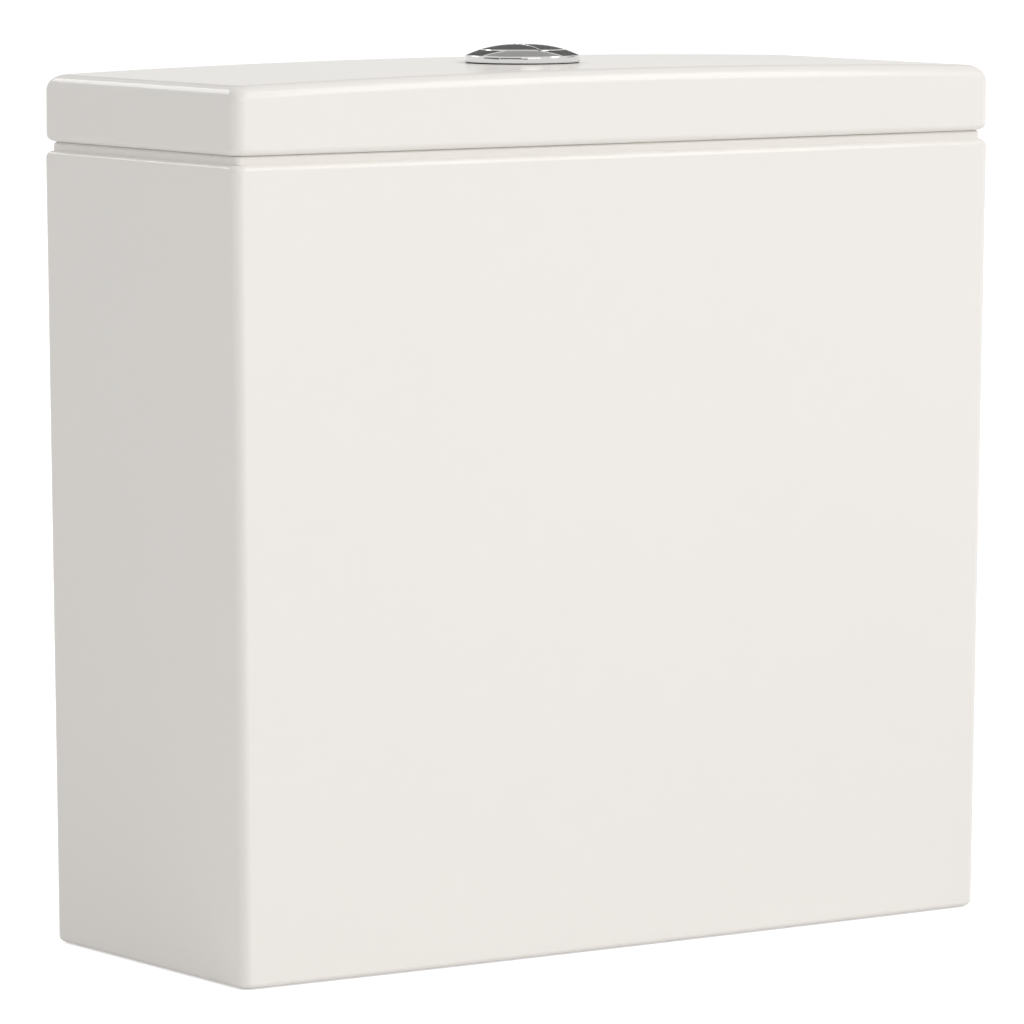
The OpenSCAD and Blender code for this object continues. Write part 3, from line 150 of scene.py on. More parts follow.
def begin():
    """Leaves edit mode with nothing selected, so that an operator acts only on what comes next."""
    if bpy.context.object and bpy.context.object.mode != "OBJECT":
        bpy.ops.object.mode_set(mode="OBJECT")
    bpy.ops.object.select_all(action="DESELECT")


def edit(piece, kind):
    """Opens a piece in edit mode with nothing picked."""
    begin()
    bpy.context.view_layer.objects.active = piece
    piece.select_set(True)
    bpy.ops.object.mode_set(mode="EDIT")
    bpy.ops.mesh.select_mode(type=kind)
    bpy.ops.mesh.select_all(action="DESELECT")


def pick_faces(piece, test):
    """Picks the faces whose middle and normal pass the test, in edit mode."""
    mesh = bmesh.from_edit_mesh(piece.data)
    bpy.ops.mesh.select_mode(type="FACE")
    bpy.ops.mesh.select_all(action="DESELECT")
    for face in mesh.faces:
        if test(face.calc_center_median(), face.normal):
            face.select_set(True)
    mesh.select_flush_mode()
    bmesh.update_edit_mesh(piece.data)


def pick_points(piece, test):
    """Picks the points whose place passes the test, in edit mode."""
    mesh = bmesh.from_edit_mesh(piece.data)
    bpy.ops.mesh.select_mode(type="VERT")
    bpy.ops.mesh.select_all(action="DESELECT")
    for vert in mesh.verts:
        if test(vert.co):
            vert.select_set(True)
    mesh.select_flush_mode()
    bmesh.update_edit_mesh(piece.data)


def drill(piece, at, radius, length, along="Z", sides=96):
    """Bores a round hole through a piece."""
    begin()
    turn = (0, 0, 0) if along == "Z" else (math.pi / 2, 0, 0)
    bpy.ops.mesh.primitive_cylinder_add(
        vertices=sides, radius=radius, depth=length, location=at, rotation=turn
    )
    cutter = bpy.context.object
    begin()
    bpy.context.view_layer.objects.active = piece
    piece.select_set(True)
    hole = piece.modifiers.new("hole", "BOOLEAN")
    hole.operation = "DIFFERENCE"
    hole.solver = "EXACT"
    hole.object = cutter
    bpy.ops.object.modifier_apply(modifier=hole.name)
    bpy.data.objects.remove(cutter)


def smooth(piece, angle=32, weight=50):
    """Smooth shading that keeps large flat faces flat."""
    begin()
    bpy.context.view_layer.objects.active = piece
    piece.select_set(True)
    bpy.ops.object.shade_smooth_by_angle(angle=math.radians(angle))
    even = piece.modifiers.new("even_normals", "WEIGHTED_NORMAL")
    even.keep_sharp = True
    even.weight = weight
    bpy.ops.object.modifier_apply(modifier=even.name)


def mend(piece):
    """Merges doubles and turns all faces outwards."""
    edit(piece, "VERT")
    bpy.ops.mesh.select_all(action="SELECT")
    bpy.ops.mesh.remove_doubles(threshold=SAME_PLACE)
    bpy.ops.mesh.normals_make_consistent(inside=False)
    bpy.ops.object.mode_set(mode="OBJECT")


def turned(name, profile, at, steps=128, closed=True):
    """Spins a profile of radius and height about an upright axis."""
    begin()
    x, y = at
    bpy.ops.mesh.primitive_plane_add(size=MM, location=(x + profile[0][0], y, profile[0][1]))
    piece = bpy.context.object
    piece.name = name
    bpy.ops.object.transform_apply(location=True, rotation=True, scale=True)
    edit(piece, "VERT")
    bpy.ops.mesh.select_all(action="SELECT")
    bpy.ops.mesh.merge(type="CENTER")
    for (r0, z0), (r1, z1) in zip(profile, profile[1:]):
        bpy.ops.mesh.extrude_vertices_move(TRANSFORM_OT_translate={"value": (r1 - r0, 0, z1 - z0)})
    if closed:
        ends = [Vector((x + r, y, z)) for r, z in (profile[0], profile[-1])]
        pick_points(piece, lambda p: min((p - e).length for e in ends) < SAME_PLACE)
        bpy.ops.mesh.edge_face_add()
    bpy.ops.mesh.select_all(action="SELECT")
    bpy.ops.mesh.spin(steps=steps, angle=2 * math.pi, center=(x, y, 0), axis=(0, 0, 1))
    mend(piece)
    return piece


def copy_solid(node, name, flat=True):
    """A merged copy of a solid, to be shaped further; flat joins the triangles of its flat faces."""
    begin()
    solid = frame["nodes"][node]
    bpy.context.view_layer.objects.active = solid
    solid.select_set(True)
    bpy.ops.object.duplicate()
    piece = bpy.context.object
    piece.name = name
    piece.parent = None
    mend(piece)
    if flat:
        edit(piece, "FACE")
        bpy.ops.mesh.select_all(action="SELECT")
        bpy.ops.mesh.dissolve_limited(angle_limit=math.radians(FLAT_WITHIN))
        bpy.ops.object.mode_set(mode="OBJECT")
    return piece


def part_faces(piece, at):
    """Cuts the flat faces that run round a bore in eight, so that none of them closes on itself."""
    edit(piece, "FACE")
    for turn in (math.radians(a) for a in (0, 45, 90, 135)):
        bpy.ops.mesh.select_all(action="SELECT")
        bpy.ops.mesh.bisect(plane_co=(*at, 0), plane_no=(math.cos(turn), math.sin(turn), 0))
    bpy.ops.object.mode_set(mode="OBJECT")


def waist(piece, at, radius, low, high, core):
    """Draws a shank in to the core of its thread."""
    edit(piece, "VERT")
    x, y = at
    bpy.ops.mesh.select_all(action="SELECT")
    bpy.ops.mesh.bisect(plane_co=(x, y, high), plane_no=(0, 0, 1))
    near = 0.03 * MM
    play = 0.01 * MM
    pick_points(
        piece,
        lambda p: abs(math.hypot(p.x - x, p.y - y) - radius) < near and low - play < p.z < high + play,
    )
    ratio = core / radius
    bpy.ops.transform.resize(value=(ratio, ratio, 1), center_override=(x, y, low))
    bpy.ops.object.mode_set(mode="OBJECT")


def ease(piece, edge, angle=40, steps=2):
    """Eases the hard edges, as a mould or a tool leaves them.

    The bevel's clamp narrows the given width where edges lie close together.
    """
    begin()
    bpy.context.view_layer.objects.active = piece
    piece.select_set(True)
    eased = piece.modifiers.new("eased_edges", "BEVEL")
    eased.width = edge
    eased.segments = steps
    eased.limit_method = "ANGLE"
    eased.angle_limit = math.radians(angle)
    eased.use_clamp_overlap = True
    bpy.ops.object.modifier_apply(modifier=eased.name)
    smooth(piece)


def thread(name, at, radius, low, high, pitch, depth):
    """One wedge-shaped ridge wound round a shank, with its crest at the radius."""
    begin()
    turn = (math.pi / 2, math.pi / 2, 0)
    bpy.ops.mesh.primitive_circle_add(vertices=3, radius=1, location=(*at, low), rotation=turn)
    ridge = bpy.context.object
    ridge.name = name
    bpy.ops.object.transform_apply(location=False, rotation=True, scale=False)
    edit(ridge, "VERT")
    bpy.ops.mesh.select_all(action="SELECT")
    # a triangle of radius 1 is 1.5 high, and the ridge leaves a flat between its turns
    bpy.ops.transform.resize(value=(depth / 1.5, 1, 0.42 * pitch), center_override=(*at, low))
    bpy.ops.transform.translate(value=(radius - depth / 1.5, 0, 0.5 * pitch))
    bpy.ops.object.mode_set(mode="OBJECT")
    wind = ridge.modifiers.new("wind", "SCREW")
    wind.axis = "Z"
    wind.angle = 2 * math.pi
    wind.screw_offset = pitch
    wind.iterations = int((high - low) / pitch) - 1
    wind.steps = 28
    wind.render_steps = 28
    bpy.ops.object.modifier_apply(modifier=wind.name)
    bpy.ops.object.transform_apply(location=True, rotation=True, scale=True)
    edit(ridge, "EDGE")
    bpy.ops.mesh.select_non_manifold()
    bpy.ops.mesh.fill_holes(sides=3)
    bpy.ops.object.mode_set(mode="OBJECT")
    mend(ridge)
    smooth(ridge, 25)
    return ridge


# Materials

def group(name, inputs, outputs):
    """An empty shader node group with named sockets; inputs are (name, default), outputs are (name, type)."""
    tree = bpy.data.node_groups.new(name, "ShaderNodeTree")
    for label, value in inputs:
        socket = tree.interface.new_socket(label, in_out="INPUT", socket_type="NodeSocketFloat")
        socket.default_value = value
    for label, kind in outputs:
        tree.interface.new_socket(label, in_out="OUTPUT", socket_type=kind)
    return tree, tree.nodes.new("NodeGroupInput"), tree.nodes.new("NodeGroupOutput")


def grain_group():
    """Fine unevenness of a surface: a bump for the normal and a mask for colour and gloss."""
    tree, given, put = group(
        "fine_grain",
        [("Scale", 400.0), ("Detail", 4.0), ("Depth", 0.1)],
        [("Normal", "NodeSocketVector"), ("Mask", "NodeSocketFloat")],
    )
    place = tree.nodes.new("ShaderNodeTexCoord")
    noise = tree.nodes.new("ShaderNodeTexNoise")
    bump = tree.nodes.new("ShaderNodeBump")
    bump.inputs["Distance"].default_value = 0.1 * MM
    tree.links.new(place.outputs["Object"], noise.inputs["Vector"])
    tree.links.new(given.outputs["Scale"], noise.inputs["Scale"])
    tree.links.new(given.outputs["Detail"], noise.inputs["Detail"])
    tree.links.new(given.outputs["Depth"], bump.inputs["Strength"])
    tree.links.new(noise.outputs["Fac"], bump.inputs["Height"])
    tree.links.new(bump.outputs["Normal"], put.inputs["Normal"])
    tree.links.new(noise.outputs["Fac"], put.inputs["Mask"])
    return tree


def drift_group():
    """Slow change over a piece, between 0 and 1."""
    tree, given, put = group(
        "slow_drift", [("Scale", 12.0), ("Contrast", 1.0)], [("Mask", "NodeSocketFloat")]
    )
    place = tree.nodes.new("ShaderNodeTexCoord")
    noise = tree.nodes.new("ShaderNodeTexNoise")
    noise.inputs["Detail"].default_value = 2.0
    level = tree.nodes.new("ShaderNodeMath")
    level.operation = "SUBTRACT"
    level.inputs[1].default_value = 0.5
    spread = tree.nodes.new("ShaderNodeMath")
    spread.operation = "MULTIPLY_ADD"
    spread.use_clamp = True
    spread.inputs[2].default_value = 0.5
    tree.links.new(place.outputs["Object"], noise.inputs["Vector"])
    tree.links.new(given.outputs["Scale"], noise.inputs["Scale"])
    tree.links.new(noise.outputs["Fac"], level.inputs[0])
    tree.links.new(level.outputs[0], spread.inputs[0])
    tree.links.new(given.outputs["Contrast"], spread.inputs[1])
    tree.links.new(spread.outputs[0], put.inputs["Mask"])
    return tree


FINE_GRAIN = grain_group()
SLOW_DRIFT = drift_group()


def place_group(tree, source, **values):
    node = tree.nodes.new("ShaderNodeGroup")
    node.node_tree = source
    for label, value in values.items():
        node.inputs[label].default_value = value
    return node


def blend_colours(tree, mask, a, b):
    node = tree.nodes.new("ShaderNodeMix")
    node.data_type = "RGBA"
    node.inputs["A"].default_value = (*a, 1)
    node.inputs["B"].default_value = (*b, 1)
    tree.links.new(mask, node.inputs["Factor"])
    return node.outputs["Result"]


def blend_values(tree, mask, low, high):
    node = tree.nodes.new("ShaderNodeMapRange")
    node.inputs["To Min"].default_value = low
    node.inputs["To Max"].default_value = high
    tree.links.new(mask, node.inputs["Value"])
    return node.outputs["Result"]


def finish_material(
    name, light, dark, rough, grain,
    drift=(14.0, 1.6), metal=0.0, coat=0.0, coat_rough=0.1, level=0.5,
):
    """A surface whose colour drifts between two tones and whose gloss follows its grain.

    rough holds the two ends of the roughness, grain the scale, detail and depth of the fine grain, and drift
    the scale and contrast of the slow change.
    """
    material = bpy.data.materials.new(name)
    material.use_nodes = True
    tree = material.node_tree
    shader = tree.nodes["Principled BSDF"]
    shader.inputs["Metallic"].default_value = metal
    shader.inputs["Coat Weight"].default_value = coat
    shader.inputs["Coat Roughness"].default_value = coat_rough
    shader.inputs["Specular IOR Level"].default_value = level
    scale, detail, depth = grain
    fine = place_group(tree, FINE_GRAIN, Scale=scale, Detail=detail, Depth=depth)
    slow = place_group(tree, SLOW_DRIFT, Scale=drift[0], Contrast=drift[1])
    tree.links.new(blend_colours(tree, slow.outputs["Mask"], light, dark), shader.inputs["Base Color"])
    tree.links.new(blend_values(tree, fine.outputs["Mask"], *rough), shader.inputs["Roughness"])
    tree.links.new(fine.outputs["Normal"], shader.inputs["Normal"])
    return material


GLAZE = finish_material(
    "white_glaze", (0.875, 0.849, 0.815), (0.862, 0.839, 0.808), (0.22, 0.3), (60.0, 1.0, 0.004),
    drift=(7.0, 1.5), coat=0.35, coat_rough=0.12, level=0.0,
)
BARE_CHINA = finish_material(
    "bare_china", (0.78, 0.74, 0.67), (0.72, 0.68, 0.61), (0.75, 0.9), (900.0, 5.0, 0.3), level=0.3,
)
CHROME = finish_material(
    "bright_chrome", (0.69, 0.685, 0.675), (0.64, 0.637, 0.63), (0.04, 0.08), (600.0, 3.0, 0.01), metal=1.0,
)
WHITE_PLASTIC = finish_material(
    "white_plastic", (0.83, 0.84, 0.83), (0.77, 0.79, 0.79), (0.3, 0.45), (700.0, 3.0, 0.08),
    drift=(24.0, 1.8),
)
GREY_PLASTIC = finish_material(
    "grey_plastic", (0.3, 0.32, 0.34), (0.24, 0.26, 0.28), (0.45, 0.62), (900.0, 4.0, 0.15),
    drift=(28.0, 1.8),
)
BLUE_PLASTIC = finish_material(
    "blue_plastic", (0.16, 0.32, 0.46), (0.12, 0.26, 0.39), (0.38, 0.55), (900.0, 4.0, 0.12),
    drift=(24.0, 1.8),
)
RUBBER = finish_material(
    "black_rubber", (0.028, 0.028, 0.03), (0.045, 0.045, 0.046), (0.62, 0.85), (1200.0, 5.0, 0.3),
    drift=(40.0, 2.0), level=0.3,
)
STEEL = finish_material(
    "bare_steel", (0.58, 0.58, 0.59), (0.48, 0.485, 0.5), (0.22, 0.4), (1500.0, 4.0, 0.08),
    drift=(60.0, 2.0), metal=1.0,
)
BRASS = finish_material(
    "bare_brass", (0.62, 0.44, 0.17), (0.5, 0.34, 0.12), (0.22, 0.38), (1200.0, 4.0, 0.06),
    drift=(60.0, 2.2), metal=1.0,
)
SLOT_FINISH = {
    "ceramic": GLAZE,
    "chrome": CHROME,
    "white_plastic": WHITE_PLASTIC,
    "grey_plastic": GREY_PLASTIC,
    "blue_plastic": BLUE_PLASTIC,
    "rubber": RUBBER,
    "steel": STEEL,
    "brass": BRASS,
}
NODE_SLOT = {s["node"]: s["material_slot"] for s in frame["record"]["subparts"]}
NODE_BODY = {n: b for b, nodes in frame["record"]["behaviour"]["bodies"].items() for n in nodes}


def clothe(piece, *materials):
    piece.data.materials.clear()
    for material in materials:
        piece.data.materials.append(material)


def stand_for(piece, node):
    """The piece takes the place and the body of a solid, which it hides."""
    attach(piece, NODE_BODY[node])
    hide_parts(node)


for node_name, solid in frame["nodes"].items():
    clothe(solid, SLOT_FINISH[NODE_SLOT[node_name]])


# Ceramic tank and lid: a rounded outline raised ring by ring

def bowed(x):
    """How far the front bows out at a place along the width."""
    return BOW * max(0.0, 1 - (x / HALF_W) ** 2)


def tank_outline(z, inset):
    """Half width, front and back of the tank at a height, set in by a distance."""
    fall = max(0.0, 1 - z / SHOULDER_Z)
    return HALF_W - SIDE_TAPER * fall - inset, FRONT_Y + FRONT_TAPER * fall + inset, HALF_D - inset


def lid_outline(z, inset):
    """The same for the lid, whose sides are upright."""
    return HALF_W - inset, FRONT_Y + inset, HALF_D - inset


def quarter(z, inset, radius, start, steps=5):
    """Heights and insets along a quarter round, from one angle to 90 degrees further."""
    turns = [math.radians(start + 90 * i / steps) for i in range(steps + 1)]
    return [(z - radius * math.cos(t), inset - radius * math.sin(t)) for t in turns]


def hollow_round(z, inset, radius, side, steps=6):
    """From a hollow's wall into its floor, or with side -1 into its ceiling."""
    turns = [math.radians(90 * i / steps) for i in range(steps + 1)]
    return [(z + side * radius * (1 - math.sin(t)), inset + radius * (1 - math.cos(t))) for t in turns]


def deep_in(p):
    """How far a point lies inside the outside faces of the tank."""
    half, front, back = tank_outline(p.z, 0)
    return min(half - abs(p.x), p.y - front + bowed(p.x), back - p.y)


def columns(piece):
    """The places along the width at which the mesh has points."""
    return sorted({round(v.co.x, 6) for v in bmesh.from_edit_mesh(piece.data).verts})


def outline_plate(name, z, corner, steps):
    """The rounded, bowed outline as one flat plate, left in edit mode with all its faces picked."""
    begin()
    bpy.ops.mesh.primitive_plane_add(size=1, location=(0, (FRONT_Y + HALF_D) / 2, z))
    piece = bpy.context.object
    piece.name = name
    bpy.ops.transform.resize(value=(2 * HALF_W, HALF_D - FRONT_Y, 1))
    bpy.ops.object.transform_apply(location=True, rotation=True, scale=True)
    edit(piece, "VERT")
    bpy.ops.mesh.select_all(action="SELECT")
    bpy.ops.mesh.bevel(offset=corner, segments=steps, profile=0.5, affect="VERTICES", clamp_overlap=False)
    for x in [corner - HALF_W, *COLUMNS, HALF_W - corner]:
        bpy.ops.mesh.select_all(action="SELECT")
        bpy.ops.mesh.bisect(plane_co=(x, 0, 0), plane_no=(1, 0, 0))
    for x in columns(piece):
        pick_points(piece, lambda p: abs(p.x - x) < SAME_PLACE and p.y < 0)
        bpy.ops.transform.translate(value=(0, -bowed(x), 0))
    bpy.ops.mesh.select_all(action="SELECT")
    return piece


def next_ring(outline, ring, after):
    """Extrudes what is picked from one ring to the next and fits it to the outline there."""
    half, front, back = outline(*ring)
    new_half, new_front, new_back = outline(*after)
    bpy.ops.mesh.extrude_region_move(
        TRANSFORM_OT_translate={"value": (0, new_back - back, after[0] - ring[0])}
    )
    bpy.ops.transform.resize(
        value=(new_half / half, (new_back - new_front) / (back - front), 1),
        center_override=(0, new_back, after[0]),
    )


def raise_rings(outline, rings):
    """Extrudes from ring to ring; a ring is a height and an inset."""
    for ring, after in zip(rings, rings[1:]):
        next_ring(outline, ring, after)


def turn_corners(piece, outline, ring, ratio):
    """Widens or tightens the four corner rounds of the ring that is picked, about its sharp corners."""
    half, front, back = outline(*ring)
    mesh = bmesh.from_edit_mesh(piece.data)
    mesh.verts.index_update()
    kept = {v.index for v in mesh.verts if v.select}
    last_column = COLUMNS[-1] + 2 * MM
    for x in (-half, half):
        for y in (front, back):
            mesh = bmesh.from_edit_mesh(piece.data)
            bpy.ops.mesh.select_mode(type="VERT")
            bpy.ops.mesh.select_all(action="DESELECT")
            for v in mesh.verts:
                near = abs(v.co.x - x) < half - last_column and abs(v.co.y - y) < CORNER_REACH
                v.select_set(v.index in kept and near)
            mesh.select_flush_mode()
            bmesh.update_edit_mesh(piece.data)
            bpy.ops.transform.resize(value=(ratio, ratio, 1), center_override=(x, y, ring[0]))
    mesh = bmesh.from_edit_mesh(piece.data)
    for v in mesh.verts:
        v.select_set(v.index in kept)
    mesh.select_flush_mode()
    bmesh.update_edit_mesh(piece.data)


def pick_sole(piece, z):
    """Picks the flat underside that the plate has left at its first height."""
    mesh = bmesh.from_edit_mesh(piece.data)
    bpy.ops.mesh.select_mode(type="FACE")
    bpy.ops.mesh.select_all(action="DESELECT")
    for face in mesh.faces:
        face.select_set(all(abs(v.co.z - z) < SAME_PLACE for v in face.verts))
    mesh.select_flush_mode()
    bmesh.update_edit_mesh(piece.data)


def make_tank():
    tank = outline_plate("tank_shell", 0, TANK_CORNER, 8)
    foot = (0, FOOT_EDGE)
    half, front, back = tank_outline(*foot)
    bpy.ops.transform.resize(
        value=(half / HALF_W, (back - front) / (HALF_D - FRONT_Y), 1), center_override=(0, HALF_D, 0)
    )
    bpy.ops.transform.translate(value=(0, back - HALF_D, 0))
    # outside wall and shoulder
    side = quarter(FOOT_EDGE, FOOT_EDGE, FOOT_EDGE, 0)
    shoulder = quarter(SHOULDER_Z - SHOULDER_EDGE, SHOULDER_EDGE, SHOULDER_EDGE, 90)
    raise_rings(tank_outline, side + shoulder)
    # neck and rim
    seat = (SHOULDER_Z, NECK_IN)
    next_ring(tank_outline, shoulder[-1], seat)
    turn_corners(tank, tank_outline, seat, NECK_CORNER / TANK_CORNER)
    rim = quarter(RIM_Z - NECK_EDGE, NECK_IN + NECK_EDGE, NECK_EDGE, 90)
    raise_rings(tank_outline, [seat] + rim)
    # inside wall and floor
    brim = quarter(RIM_Z - RIM_EDGE, WALL - RIM_EDGE, RIM_EDGE, 180, 3)
    next_ring(tank_outline, rim[-1], brim[0])
    turn_corners(tank, tank_outline, brim[0], INNER_CORNER / NECK_CORNER)
    raise_rings(tank_outline, brim + hollow_round(FLOOR_Z, WALL, CAVITY_FILLET, 1))
    # hollow under the floor
    pick_sole(tank, 0)
    sole = quarter(FOOT_INNER_EDGE, WALL - FOOT_INNER_EDGE, FOOT_INNER_EDGE, 0, 3)
    inner_foot = [(z, 2 * (WALL - FOOT_INNER_EDGE) - inset) for z, inset in sole]
    next_ring(tank_outline, foot, inner_foot[0])
    turn_corners(tank, tank_outline, inner_foot[0], INNER_CORNER / TANK_CORNER)
    raise_rings(tank_outline, inner_foot + hollow_round(RECESS_Z, WALL, RECESS_FILLET, -1))
    bpy.ops.object.mode_set(mode="OBJECT")
    mend(tank)
    middle = (RECESS_Z + FLOOR_Z) / 2
    deep = 2 * (FLOOR_Z - RECESS_Z)
    drill(tank, (*VALVE_XY, middle), OUTLET_HOLE_R, deep)
    drill(tank, (*INLET_XY, middle), INLET_HOLE_R, deep)
    for hand in (-1, 1):
        drill(tank, (hand * BOLT_X, VALVE_XY[1], middle), BOLT_HOLE_R, deep, sides=48)
        drill(tank, (hand * WALL_HOLE_X, HALF_D - WALL / 2, WALL_HOLE_Z), WALL_HOLE_R, 3 * WALL, "Y", 48)
    smooth(tank, weight=CERAMIC_WEIGHT)
    clothe(tank, GLAZE, BARE_CHINA)
    edit(tank, "FACE")
    pick_faces(tank, lambda c, n: c.z < RECESS_Z + BARE_ABOVE and (deep_in(c) > BARE_FROM or n.z < -0.9))
    tank.active_material_index = 1
    bpy.ops.object.material_slot_assign()
    bpy.ops.object.mode_set(mode="OBJECT")
    stand_for(tank, "tank")


def make_lid():
    lid = outline_plate("lid_shell", RIM_Z, LID_CORNER, 10)
    edge = (RIM_Z, LID_FOOT_EDGE)
    half, front, back = lid_outline(*edge)
    bpy.ops.transform.resize(
        value=(half / HALF_W, (back - front) / (HALF_D - FRONT_Y), 1), center_override=(0, HALF_D, RIM_Z)
    )
    bpy.ops.transform.translate(value=(0, back - HALF_D, 0))
    side = quarter(RIM_Z + LID_FOOT_EDGE, LID_FOOT_EDGE, LID_FOOT_EDGE, 0)
    brow = quarter(LID_EDGE_Z - LID_TOP_EDGE, LID_TOP_EDGE, LID_TOP_EDGE, 90, 8)
    raise_rings(lid_outline, side + brow)
    for x in columns(lid):
        pick_points(lid, lambda p: abs(p.x - x) < SAME_PLACE and p.z > brow[0][0] - SAME_PLACE)
        bpy.ops.transform.translate(value=(0, 0, LID_CROWN * (1 - (x / HALF_W) ** 2)))
    # locating rib and hollow
    pick_sole(lid, RIM_Z)
    rib = RIM_Z - RIB_DROP
    root = (RIM_Z, RIB_OUT)
    next_ring(lid_outline, edge, root)
    turn_corners(lid, lid_outline, root, INNER_CORNER / LID_CORNER)
    tip = [
        (rib + RIM_EDGE * (1 - math.sin(t)), RIB_OUT + RIM_EDGE * (1 - math.cos(t)))
        for t in (math.radians(30 * i) for i in range(4))
    ]
    back_tip = [(z, 2 * RIB_OUT + RIB_T - inset) for z, inset in tip[::-1]]
    ceiling = hollow_round(LID_CEILING_Z, RIB_OUT + RIB_T, LID_FILLET, -1)
    raise_rings(lid_outline, [root] + tip + back_tip + ceiling)
    bpy.ops.object.mode_set(mode="OBJECT")
    mend(lid)
    drill(lid, (*VALVE_XY, LID_CEILING_Z), LID_HOLE_R, LID_DRILL)
    smooth(lid, weight=CERAMIC_WEIGHT)
    clothe(lid, GLAZE)
    stand_for(lid, "lid")


# Chrome push button

def dome(r):
    """Height of the chrome over its band at a radius."""
    return DOME_H * (1 - (r / BEZEL_R) ** DOME_POWER)


def make_bezel():
    outside = [
        (BEZEL_R - SKIRT_T, BEZEL_Z),
        (BEZEL_R - SKIRT_T, SKIRT_Z),
        (BEZEL_R - SKIRT_ROUND, SKIRT_Z),
        (BEZEL_R, SKIRT_Z + SKIRT_ROUND),
        (BEZEL_R, BAND_Z - BAND_ROUND),
    ]
    steps = 14
    reach = OPENING_R + LIP - BEZEL_R + BAND_ROUND
    radii = [BEZEL_R - BAND_ROUND + reach * i / steps for i in range(steps + 1)]
    slope = [(r, BAND_Z + dome(r)) for r in radii]
    edge = [
        (OPENING_R + LIP * (1 - math.sin(a)), BAND_Z + dome(OPENING_R) - LIP * (1 - math.cos(a)))
        for a in (math.radians(t) for t in (30, 60, 90))
    ]
    inside = [(OPENING_R, FLANGE_SEAT_Z), (FLANGE_SEAT_R, FLANGE_SEAT_Z), (FLANGE_SEAT_R, BEZEL_Z)]
    bezel = turned("bezel_ring", outside + slope + edge + inside, VALVE_XY, steps=CHROME_SIDES)
    smooth(bezel, 40)
    clothe(bezel, CHROME)
    stand_for(bezel, "button_bezel")


def make_button(name, node, side):
    """One half of the domed button pair: a thick cap with a skirt, cut along the split."""
    steps = 20
    radii = [(BUTTON_R - LIP) * i / steps for i in range(steps + 1)]
    top = [(r, BAND_Z + dome(r)) for r in radii]
    edge = [
        (BUTTON_R - LIP + LIP * math.sin(a), BAND_Z + dome(BUTTON_R) - LIP * (1 - math.cos(a)))
        for a in (math.radians(t) for t in (30, 60, 90))
    ]
    skirt_z = BUTTON_UNDER_Z - CAP_SKIRT_H
    under = [
        (BUTTON_R, BUTTON_UNDER_Z),
        (CAP_SKIRT_R, BUTTON_UNDER_Z),
        (CAP_SKIRT_R, skirt_z),
        (CAP_SKIRT_IN, skirt_z),
        (CAP_SKIRT_IN, BUTTON_UNDER_Z),
        (0, BUTTON_UNDER_Z),
    ]
    cap = turned(name, top + edge + under, VALVE_XY, steps=CHROME_SIDES, closed=False)
    edit(cap, "FACE")
    bpy.ops.mesh.select_all(action="SELECT")
    cut_x = SPLIT_X + side * SPLIT_GAP / 2
    bpy.ops.mesh.bisect(
        plane_co=(cut_x, 0, 0), plane_no=(1, 0, 0), threshold=HAIR,
        use_fill=True, clear_inner=side > 0, clear_outer=side < 0,
    )
    for away, drop in SPLIT_ROUND:
        x = cut_x + side * away
        if away:
            bpy.ops.mesh.select_all(action="SELECT")
            bpy.ops.mesh.bisect(plane_co=(x, 0, 0), plane_no=(1, 0, 0), threshold=HAIR)
        pick_points(cap, lambda p: abs(p.x - x) < HAIR and p.z > BUTTON_UNDER_Z + MM)
        bpy.ops.transform.translate(value=(0, 0, -drop))
    bpy.ops.object.mode_set(mode="OBJECT")
    mend(cap)
    smooth(cap, 40)
    clothe(cap, CHROME)
    stand_for(cap, node)


# Springs under the buttons

def make_spring(name, node, x):
    """Round wire wound with two closed ends."""
    begin()
    low = SPRING_LOW_Z + WIRE_R
    high = SPRING_TOP_Z - WIRE_R
    # the closed turn at each end climbs by just over the wire's own thickness
    closed = 2 * WIRE_R * 1.02
    path = bpy.data.curves.new(name, "CURVE")
    path.dimensions = "3D"
    path.bevel_depth = WIRE_R
    path.bevel_resolution = 3
    path.use_fill_caps = True
    line = path.splines.new("POLY")
    steps = 40
    turns = SPRING_CURLS + 2
    count = int(turns * steps)
    line.points.add(count)
    for i in range(count + 1):
        turn = i / steps
        if turn < 1:
            z = low + closed * turn
        elif turn > turns - 1:
            z = high - closed * (turns - turn)
        else:
            z = low + closed + (high - low - 2 * closed) * (turn - 1) / SPRING_CURLS
        angle = 2 * math.pi * turn
        line.points[i].co = (
            x + SPRING_R * math.cos(angle), VALVE_XY[1] + SPRING_R * math.sin(angle), z, 1
        )
    piece = bpy.data.objects.new(name, path)
    bpy.context.scene.collection.objects.link(piece)
    bpy.context.view_layer.objects.active = piece
    piece.select_set(True)
    bpy.ops.object.convert(target="MESH")
    piece = bpy.context.object
    mend(piece)
    smooth(piece, 60)
    clothe(piece, STEEL)
    stand_for(piece, node)
    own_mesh(piece)


# Inside fittings: copies of the solids with eased edges, and wound threads

def fit_out(node, edge, threads=(), bore=None):
    """Dresses one fitting: its own edges, its finish, and a wound ridge for each thread."""
    piece = copy_solid(node, node + "_eased", node not in IN_TRIANGLES)
    if bore:
        part_faces(piece, bore)
    # a ridge's foot stands a little inside the core, so that no gap shows
    for at, radius, low, high, pitch, depth in threads:
        waist(piece, at, radius, low, high, radius - 0.9 * depth)
    if edge:
        ease(piece, edge)
    else:
        smooth(piece)
    finish = SLOT_FINISH[NODE_SLOT[node]]
    clothe(piece, finish)
    stand_for(piece, node)
    for number, (at, radius, low, high, pitch, depth) in enumerate(threads):
        ridge = thread(node + "_thread_" + str(number + 1), at, radius, low, high, pitch, depth)
        clothe(ridge, finish)
        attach(ridge, NODE_BODY[node])


